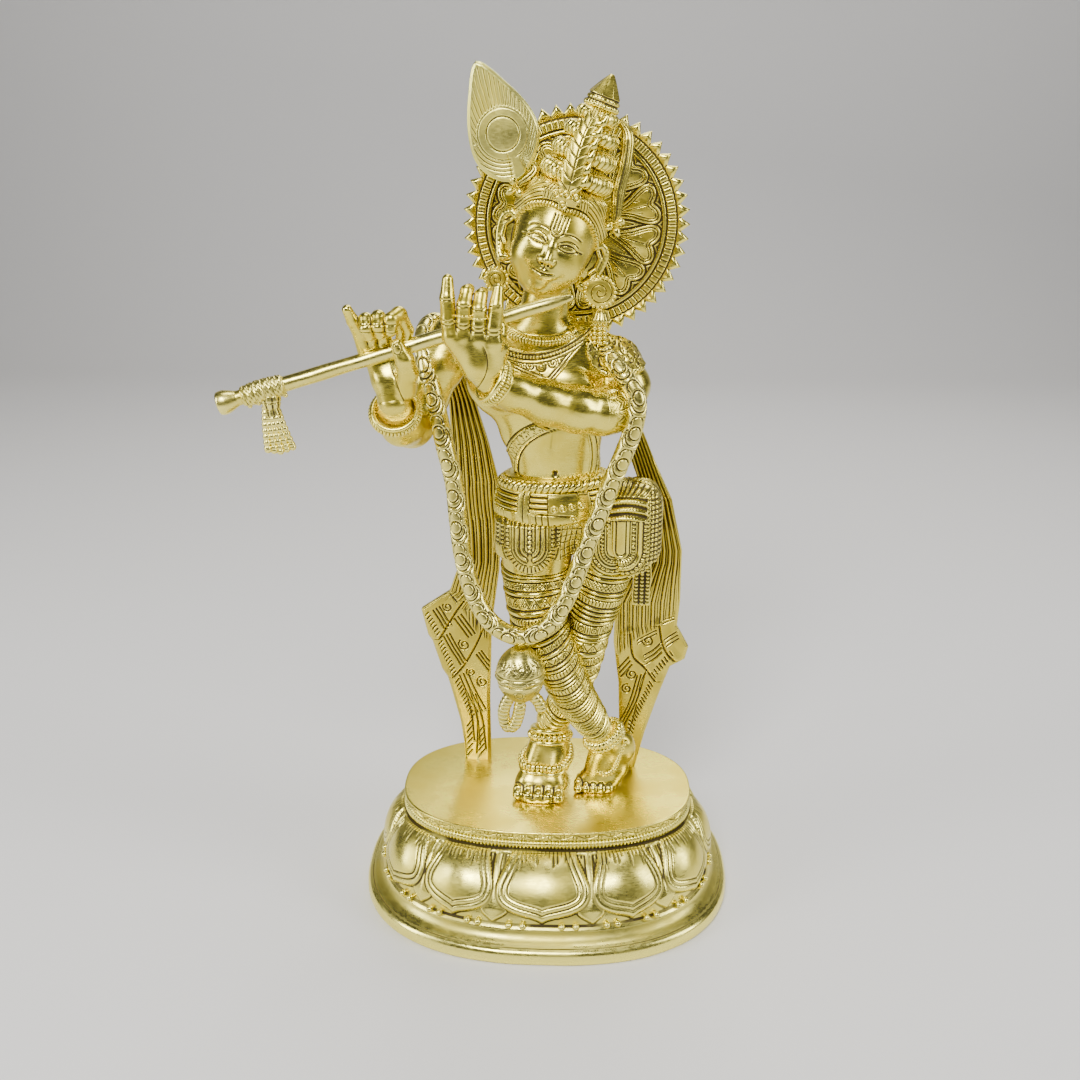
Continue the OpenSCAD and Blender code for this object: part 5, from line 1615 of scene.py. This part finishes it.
def necklaces():
    def top(x):
        return 259.6 + 0.0165 * (x + 5) ** 2 + 0.05 * x

    def plate(p):
        x, y, z = p.T
        body = torso_field(p)
        right = (246.2 + 1.12 * (x - 0.7) - z) * 0.67
        left = (246.2 - 0.42 * (x - 0.7) - z) * 0.92
        return np.maximum.reduce([body - 1.1, -(body + 1.3), z - top(x), right, left, y + 1.5, -26 - x])

    def relief(p, n):
        x, y, z = p.T
        below = top(x) - z
        right = (z - 246.2 - 1.12 * (x - 0.7)) * 0.67
        left = (z - 246.2 + 0.42 * (x - 0.7)) * 0.92
        edge = np.minimum(left, right)
        h = -0.5 * ridge(below - 1.0, 0.6) - 0.5 * ridge(below - 3.1, 0.6) - 0.5 * ridge(below - 4.5, 0.6)
        h += 0.55 * ramp(np.hypot(wave(x, 1.35), below - 2.05), 0.8, 0.2) - 0.2 * (below > 1.1) * (below < 3.0)
        h -= 0.5 * (ridge(edge - 1.1, 0.6) + ridge(edge - 2.3, 0.6)) * (below > 4.4)
        inner = ramp(edge, 2.4, 2.8) * ramp(below, 4.7, 5.1)
        flower = np.hypot(x + 2.4, z - 253.6)
        motif = -0.45 * ridge(flower - 2.0, 0.6) + 0.4 * ramp(flower, 1.1, 0.5)
        for side in (-1, 1):
            for distance in (4.6, 8.6):
                curl = np.hypot(x + 2.4 - side * distance, z - 254.6 - 0.10 * distance * side)
                motif -= 0.45 * (ridge(curl - 1.7, 0.6) + ridge(curl - 0.6, 0.5)) * (z < 256.2 + curl * 0.2)
        motif -= 0.45 * ridge(np.hypot((x + 2.6) / 0.75, (z - 249.4) / 1.35) - 1, 0.5)
        return np.where(n[:, 1] < -0.1, h + inner * motif, 0)
    mesh = field_mesh(plate, (-28, -22, 242), (22, 0, 272), 0.36)
    shells = [engraved(mesh, relief)]

    # Ribbed collar round the neck
    a = np.linspace(0, TAU, 540, endpoint=False)
    tilt = unit(vec(0.05, 0.42, 1))
    side, ahead = vec(1, 0, -0.05), unit(vec(0, -1, 0.42) * (1, 1, -1))
    path = vec(-2.9, 0.8, 268.2) + 15.2 * np.cos(a)[:, None] * side + 12.2 * np.sin(a)[:, None] * ahead
    pitch = arc_length(path, True)[1] / 66
    shells.append(tube(path, 1.8, 18, lambda s, t: -0.6 * ridge(wave(s, pitch), 0.7), loop=True, up=tilt, flat=1.0))
    rim = path + tilt * 1.9 - (path - path.mean(0)) * 0.05
    shells.append(tube(rim, 0.8, 10, loop=True, up=tilt))

    # Crumpled cloth over the left shoulder
    def both(p):
        return blend_min(torso_field(p), chain(p, LEFT_ARM[:3], 3), 2)

    def cloth(p):
        x, y, z = p.T
        body = both(p)
        spot = np.linalg.norm((p - (29, 0, 259)) / (13.5, 17, 13), axis=1) * 12 - 12
        crumple = 0.8 * noise(p, 9, 21)
        return np.maximum.reduce([body - 1.7 - 0.5 * noise(p, 6, 22), -(body + 1.2), spot + crumple])

    def curls(p, n):
        q = p + 1.4 * np.stack([noise(p, 7, 31), noise(p, 7, 32), noise(p, 7, 33)], 1)
        ring = wave(np.hypot(wave(q[:, 0] + 0.4 * q[:, 1], 6.5), wave(q[:, 2] - 0.3 * q[:, 1], 6.0)), 1.9)
        return -0.5 * ridge(ring, 0.8) + 0.15
    mesh = field_mesh(cloth, (10, -22, 238), (48, 20, 274), 0.45)
    shells.append(engraved(mesh, curls))
    piece("necklaces", shells, ENGRAVED, "engraved_brass", "necklaces")


torso()
arm("right_arm", RIGHT_ARM, (-72, -44, 214), (-26, 16, 276))
arm("left_arm", LEFT_ARM, (-30, -48, 222), (48, 16, 266))
left_hand()
right_hand()
bangle("left_bangle", (-19.6, -36.6, 252.4), (-1, -0.5, 0.65), 8.3, 4.4)
bangle("right_bangle", (-60.4, -29.6, 238.4), (0, -0.75, 0.65), 9.2, 4.0)
left_armlet()
necklaces()


# ---- head -------------------------------------------------------------------------------

HEAD_AT, HEAD_LEAN = vec(1.5, -1, 301.5), math.radians(20)
HEAD_TURN = np.array([[math.cos(HEAD_LEAN), 0, math.sin(HEAD_LEAN)], [0, 1, 0],
                      [-math.sin(HEAD_LEAN), 0, math.cos(HEAD_LEAN)]])


def to_head(p):
    return (p - HEAD_AT) @ HEAD_TURN


def from_head(q):
    return np.asarray(q, float) @ HEAD_TURN.T + HEAD_AT


def placed(shells):
    """Shells modelled in the head's own frame, put on the figure."""
    return [(from_head(v), f) for v, f in shells]


def mirrored(points):
    return [[(s * p[0], *p[1:]) for p in points] for s in (-1, 1)]


def head_field(q):
    mirror = q * (1, 1, 1)
    mirror[:, 0] = np.abs(mirror[:, 0])
    skull = blob(q, (0, 1.2, 6.5), (16.8, 18.6, 18.6))
    face = blob(q, (0, -3.6, -3.4), (14.2, 14.6, 16.4))
    d = blend_min(skull, face, 7)
    d = blend_min(d, blob(q, (0, -9.4, -14.6), (7.4, 6.6, 5.0)), 5)
    d = blend_min(d, blob(mirror, (6.8, -10.6, -6.0), (6.6, 5.4, 6.2)), 6)
    # Eye hollows, lids, nose, lips and chin
    d = carve(d, blob(mirror, (6.4, -20.2, 3.2), (4.4, 3.0, 2.2)), 3.2)
    d = blend_min(d, blob(mirror, (6.5, -13.7, 1.9), (4.3, 3.1, 2.5)), 1.0)
    nose = chain(q, [(0, -16.4, 6.0, 1.0), (0, -18.2, 0.6, 1.25), (0, -19.9, -4.2, 1.8)], 1.5)
    d = blend_min(d, nose, 2.4)
    d = blend_min(d, blob(mirror, (2.0, -18.2, -4.9), (1.5, 1.7, 1.3)), 1.2)
    d = carve(d, blob(mirror, (1.3, -19.0, -6.4), (0.7, 1.2, 0.6)), 0.5)
    d = blend_min(d, blob(q, (0, -15.4, -9.9), (5.4, 2.6, 3.2)), 3)
    upper = bone(mirror, (0.7, -18.0, -8.9), (4.1, -16.2, -9.0), 0.95, 0.35)
    lower = bone(mirror, (0, -17.6, -11.2), (3.0, -16.3, -10.4), 1.15, 0.5)
    d = blend_min(d, upper, 0.7)
    d = blend_min(d, lower, 0.6)
    return blend_min(d, blob(q, (0, -14.0, -15.6), (4.0, 3.4, 3.2)), 3)


def head():
    def ears(q):
        mirror = q * (1, 1, 1)
        mirror[:, 0] = np.abs(mirror[:, 0])
        rim = chain(mirror, smooth_path([(16.4, -1, 4.6, 1.3), (19.4, 0, 6.2, 1.5), (22.0, 0.6, 3.4, 1.5), (21.8, 0.4, -2.6, 1.4),
                                         (19.8, -0.8, -8, 1.5), (17.8, -1.6, -11.4, 2.1), (16.0, -2, -11, 1.6)], 16), 0.3)
        inner = blob(mirror, (17.4, 1.2, -2.2), (4.9, 1.9, 8.6))
        fold = chain(mirror, [(18.6, -0.8, 3.4, 0.8), (20.4, -0.6, 1.2, 0.8), (20.0, -0.8, -3.4, 0.8), (18.2, -1.6, -5.8, 0.9)], 0.4)
        return blend_min(blend_min(rim, inner, 1.0), fold, 0.6)

    def field(q):
        neck = bone(q, to_head(vec(-3.6, 3, 262)[None])[0], to_head(vec(0.6, 2.6, 290)[None])[0], 9.9, 8.9)
        d = blend_min(head_field(q), neck, 3.0)
        return blend_min(d, ears(q), 0.8)

    def relief(q, n):
        x, y, z = q.T
        front = (n[:, 1] < 0.1) & (y < -8)
        ax = np.abs(x)
        u, v = (ax - 6.5) / 4.1, z - 1.9
        lid, under = 1.55 * (1 - u ** 2) + 0.15 * u, -1.15 * (1 - u ** 2) + 0.15 * u
        span = ramp(np.abs(u), 1.12, 0.97)
        tail = ramp(u, 0.85, 1.0) * ramp(u, 1.6, 1.35)
        h = -0.85 * ridge(v - lid, 1.05) * span - 0.7 * ridge(v - under, 0.9) * span
        h -= 0.7 * ridge(v - 0.2 + 0.6 * (u - 1), 0.9) * tail
        h -= 0.5 * ridge(v - lid - 1.4, 0.8) * ramp(np.abs(u), 1.15, 0.85)
        h -= 0.4 * ridge(v - 0.15 - 0.35 * (1 - u ** 2), 0.7) * ramp(np.abs(u), 0.75, 0.6)
        brow = z - 5.7 - 1.7 * (1 - ((ax - 6.2) / 5.2) ** 2)
        h -= 0.75 * ridge(brow, 1.0) * ramp(ax, 1.7, 2.6) * ramp(ax, 11.4, 10.0)
        smile = z + 9.95 - 0.04 * ax ** 2
        h -= 0.85 * ridge(smile, 0.95) * ramp(ax, 4.6, 4.0)
        h -= 0.22 * ridge(np.hypot(ax - 4.9, z + 9.0), 1.1)
        h -= 0.22 * ridge(x, 1.2) * ramp(z, -8.4, -8.0) * ramp(z, -6.4, -6.8)
        wing = np.hypot(ax - 1.7, z + 4.6)
        h -= 0.3 * ridge(wing - 2.3, 0.7) * (ax > 2.0) * (z < -3.6)
        mark = np.hypot(x, np.minimum(z - 7.8, 0))
        keep = ramp(z, 13.6, 13.0)
        h -= keep * (0.75 * ridge(mark - 2.8, 0.9) + 0.6 * ridge(mark - 1.4, 0.7))
        h -= keep * 0.55 * ridge(x, 0.7) * ramp(z, 7.4, 7.8)
        turn = np.arctan2(x, y)
        hair = -0.5 * ridge(wave(turn * 17 + 0.8 * np.sin(z / 3.4 + 2 * turn), 1.9), 0.8) - 0.35 * ridge(wave(z + 2.2 * np.cos(turn * 3), 7.5), 1.2)
        back = ramp(y, 2.5, 4.5) * (ax < 17.4) * ramp(z, -15, -13)
        neck_line = -0.25 * ridge(wave(z + 21.5 + 0.3 * x, 3.6), 0.7) * (z < -19.5) * (z > -27) * (n[:, 1] < 0)
        return np.where(front, h, 0) + back * hair + neck_line
    mesh = field_mesh(field, (-26, -24, -42), (26, 21, 24), 0.36)
    shells = placed([engraved(mesh, relief)])
    piece("head", shells, FIGURE, "figure_brass", "head")


# ---- headdress -----------------------------------------------------------------------------

def ring_jewel(centre, radius=1.35):
    """Bead in a ring, facing forward, in the head's own frame."""
    return [tube(ring_path(centre, (0, -1, 0.15), radius, 22), 0.5, 8, loop=True, up=(0, -1, 0.01)), bead(centre, 0.75)]


def headdress():
    columns, rows = 600, 66
    a = np.linspace(0, TAU, columns, endpoint=False) + FRONT
    x0 = 20.4 * np.cos(a)
    ahead = ramp(-np.sin(a), -0.1, 0.6)
    hair = smooth_path([(-20.6, 4.5), (-19.0, 8.2), (-16.0, 11.6), (-12.0, 13.6), (-6.5, 14.4), (-1, 14.0), (5, 14.6),
                        (10.8, 14.0), (15.0, 11.8), (18.0, 8.6), (20.6, 4.5)], 80)
    low = np.interp(x0, *hair.T)
    low = ahead * low + (1 - ahead) * 3.5
    high = 22.0 + 2.6 * ahead * np.cos(x0 / 13.0) ** 2
    v = np.linspace(0, 1, rows)[:, None]
    z = low + (high - low) * v
    up = z - low
    # The band follows the skull: its lower edge is tucked against the forehead
    skull = np.sqrt(np.clip(1 - ((z - 6.5) / 18.6) ** 2, 0.05, 1))
    full = ramp(up, -0.2, 1.2) * 1.7 + ramp(up, 2.2, 7) * 2.0 + 3.6 * ramp(z, 15, 24)
    rx, ry = 16.7 * skull + full, 18.4 * skull + full
    around = np.broadcast_to(a * 20.5, z.shape)
    x = np.broadcast_to(x0, z.shape)
    h = np.where(up < 2.2, -0.7 * ridge(wave(around, 1.75), 0.9), 0)
    h = h - 0.8 * ridge(up - 2.5, 1.0)
    swirl = up - 3.9 + 0.12 * np.abs(x + 1) * ramp(up, 3, 8)
    h = h - 0.6 * ridge(wave(swirl, 2.3), 1.0) * (up > 3.1)
    for tie, lean in ((-9.6, 0.12), (8.2, -0.4)):
        off = x - tie - lean * (up - 5)
        strap = ramp(np.abs(off), 2.3, 2.0) * (up > 2.9) * ahead
        h = h * (1 - strap) + strap * (0.5 - 0.55 * ridge(wave(off, 1.5), 0.85))
    plate = ramp(np.abs(x + 1.0 - 0.08 * up), 5.8, 5.2) * (up > 2.9) * ahead
    h = h * (1 - plate) + plate * 0.3
    grid = np.stack([(rx + h) * np.cos(a), 1.2 + (ry + h) * np.sin(a), z], -1)
    lip = np.stack([14.5 * np.cos(a), 1.2 + 15.5 * np.sin(a), low + 0.8], -1)[None]
    roof = np.stack([12 * np.cos(a), 1 + 12 * np.sin(a), high * 0 + 24.6], -1)[None]
    shells = [shell(capped(np.concatenate([lip, grid, roof])))]

    # Tower of hair behind the coils
    core = [(20, 0, 2, 14.5, 14.5), (25, 0, 2, 11.0, 11), (34, 0, 2, 9.0, 9.2), (43, 0, 2, 7.0, 7.4), (51, 0, 2, 5.2, 5.6),
            (56, 0, 2, 5.4, 5.6)]
    tower, turn = oval_stack(core, 260, 90)
    strands = -0.35 * ridge(wave(turn * 80 + 0.4 * np.sin(tower[..., 2] / 2), 2.0), 0.9)
    shells.append(shell(capped(tower + grid_normals(tower) * strands[..., None])))
    for z0, ring, r in ((28.0, 12.6, 3.9), (36.4, 10.8, 3.7), (44.4, 8.8, 3.4), (51.6, 6.6, 2.8)):
        t = np.linspace(0, TAU, 440, endpoint=False) + FRONT
        path = np.stack([ring * np.cos(t), 2 + (ring + 0.4) * np.sin(t), np.full(440, z0)], 1)
        length = arc_length(path, True)[1]
        pitch = length / round(length / 1.9)

        def coil(s, ang, length=length, pitch=pitch, r=r):
            swell = np.abs(np.sin(4 * math.pi * (s / length - 0.01))) ** 0.4
            return -0.45 * r * (1 - swell) - 0.55 * ridge(wave(s + 0.3 * ang, pitch), 0.95)
        shells.append(tube(path, r, 30, coil, loop=True, up=(0, 0, 1)))

    # Strands hanging at either side, each tied in a small bow
    for side in (1, -1):
        top = 53 if side > 0 else 30
        strand = smooth_path([(side * (9 if side > 0 else 17.6), 3, top), (side * (13.6 if side > 0 else 17.8), 1, top - 4),
                              (side * 16.4, -0.5, 39 if side > 0 else 24), (side * 17.8, -1.5, 28 if side > 0 else 21),
                              (side * 20.0, -2.5, 20 if side > 0 else 18), (side * 20.6, -3.2, 15)], 150)
        size = np.interp(np.linspace(0, 1, 150), [0, 0.2, 0.7, 1], [1.4, 2.7, 2.8, 1.5])
        shells.append(tube(strand, size, 40, lambda s, ang: -0.4 * ridge(wave(ang * 2.4, 1.3), 0.7)))
        for reach in ((2.6, -1.6, 2.2), (2.4, -1.8, -2.6), (-1.8, -2.2, -1.6)):
            tip = vec(side * 20.4, -3.4, 16) + vec(side * reach[0], reach[1], reach[2])
            bow = smooth_path([(side * 20.4, -3.4, 16), tip * (1, 1, 1), tip + (0, 0.6, -0.9)], 30)
            shells.append(tube(bow, np.interp(np.linspace(0, 1, 30), [0, 0.6, 1], [0.9, 1.7, 0.9]), 18,
                               lambda s, ang: -0.25 * ridge(wave(ang * 1.6, 1.0), 0.5)))
    shells += ring_jewel((-1.3, -22.2, 17.4)) + ring_jewel((-5.2, -21.6, 20.4)) + ring_jewel((2.8, -21.9, 21.4))
    shells += ring_jewel((-1.2, -22.2, 21.4)) + ring_jewel((-1.2, -20.8, 25.6), 1.5)
    piece("headdress", placed(shells), ENGRAVED, "engraved_brass", "headdress")


def brow_plume():
    """Herringbone leaf laid up the front of the hair."""
    count = 420
    path = smooth_path([(-1.0, -20.6, 22), (-1.6, -19.4, 28), (-2.4, -16.6, 36), (-2.6, -13.6, 43.5), (-1.8, -10.2, 50), (-1.2, -7.6, 54)], count)
    length = arc_length(path)[1]
    width = np.interp(np.linspace(0, 1, count), [0, 0.08, 0.5, 0.85, 1], [3.0, 4.5, 4.3, 3.2, 1.0])
    pitch = 4.2

    def relief(s, a):
        across = np.sin(a) * 4.1
        phase = wave(s - 0.85 * np.abs(across), pitch)
        saw = ((s - 0.85 * np.abs(across)) / pitch) % 1
        h = 1.2 * saw - 0.6 - 0.7 * ridge(phase, 1.0)
        return h - 0.5 * ridge(across, 0.8)
    shells = [tube(path, width, 84, relief, up=(0, -1, 0.4), flat=0.42)]
    for k in range(6):
        leaf = path[int(count * (0.12 + 0.14 * k))]
        tip = leaf + (5.4, 0.3, 4.4)
        blade = smooth_path([leaf + (2.6, 0.3, 0), leaf + (4.7, 0.2, 1.2), tip], 26)
        shells.append(tube(blade, np.interp(np.linspace(0, 1, 26), [0, 0.5, 1], [1.0, 1.4, 0.3]), 12, flat=0.7))
    piece("brow_plume", placed(shells), ENGRAVED, "engraved_brass", "brow_plume")


def finial():
    profile = [(0, 6.6), (0.3, 7.2), (1.2, 7.3), (1.9, 7.0), (2.2, 6.3), (2.6, 6.2), (2.9, 6.7), (3.6, 6.75), (4.1, 6.3), (4.4, 5.9), (4.8, 6.1)]
    cone = [(s, 6.2 * (1 - ((s - 5) / 8.6)) ** 0.86 + 0.35) for s in np.linspace(5, 13.2, 46)]

    def relief(s, a):
        facet = (a % (TAU / 9)) - TAU / 18
        flat = (math.cos(TAU / 18) / np.cos(facet) - 1) * 6.0
        return np.where(s > 4.8, flat * ramp(s, 13.4, 9), 0) - 0.5 * ridge(wave(a * 7, 1.7), 0.8) * (s > 0.2) * (s < 2.0) - \
            0.4 * ridge(wave(a * 7, 2.6), 0.8) * (s > 2.7) * (s < 3.9)
    shape = lathe((0, 2, 54.4), (0, 2, 68), profile + cone, 180, relief)
    piece("finial", placed([shape]), ENGRAVED, "engraved_brass", "finial")


def ear_discs():
    shells = []
    for centre, radius, drop in (((21.2, -6.2, 283.2), 6.2, 1.0), ((-20.8, -5.0, 288), 4.6, 0.75)):
        c = vec(*centre)
        profile = smooth_path([(0, radius * 0.6), (0.2, radius * 0.96), (1.2, radius), (2.4, radius * 0.95), (2.9, radius * 0.7),
                               (3.1, radius * 0.4), (3.4, 0.4)], 80)

        def spiral(s, a, radius=radius):
            return 0.25 * np.cos(18 * a) * ramp(s, 0.3, 0.8) * ramp(s, 2.6, 2.2)
        disc = lathe(c + (0, 1.6, 0), c + (0, -2, 0), profile, 110, spiral)
        v, f = disc
        flat = np.hypot(v[:, 0] - c[0], v[:, 2] - c[2])
        turn = np.arctan2(v[:, 2] - c[2], v[:, 0] - c[0])
        groove = 0.45 * ridge(wave(flat - turn / TAU * radius / 2.6, radius / 2.6), 0.7) * (v[:, 1] < c[1] - 0.6) * (flat < radius * 0.86)
        shells.append((v + np.stack([0 * groove, groove, 0 * groove], 1), f))
        ring = [c + (radius * math.cos(t), -0.7, radius * math.sin(t)) for t in np.linspace(0, TAU, round(radius * 3.6), endpoint=False)]
        shells += beads(ring, 0.8, 5, 8)
        bell = c + (0.2, 0, -radius - 0.4)
        shape = smooth_path([(0, 1.2), (1.2, 2.6), (3.2, 3.6), (4.6, 4.1), (5.4, 3.8), (5.8, 2.4)], 50) * drop
        shells.append(lathe(bell, bell + (0, -0.4, -6), shape, 60, lambda s, a: 0.3 * np.abs(np.cos(7 * a)) - 0.2))
        for k in (-1, 0, 1):
            strand = [bell + vec(2.0 * k * drop, -0.6 - 0.3 * j * (k == 0), -6.2 * drop - 1.9 * j * drop) for j in range(5)]
            shells += beads(strand, 1.05 * drop, 6, 9)
    piece("ear_discs", shells, ENGRAVED, "engraved_brass", "ear_discs")


head()
headdress()
brow_plume()
finial()
ear_discs()


# ---- plain nodes and the end ------------------------------------------------------

for hidden_part in ("foot_studs", "stud_nuts", "halo_screw"):
    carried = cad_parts[hidden_part]
    carried.data.materials.clear()
    carried.data.materials.append(STEEL)
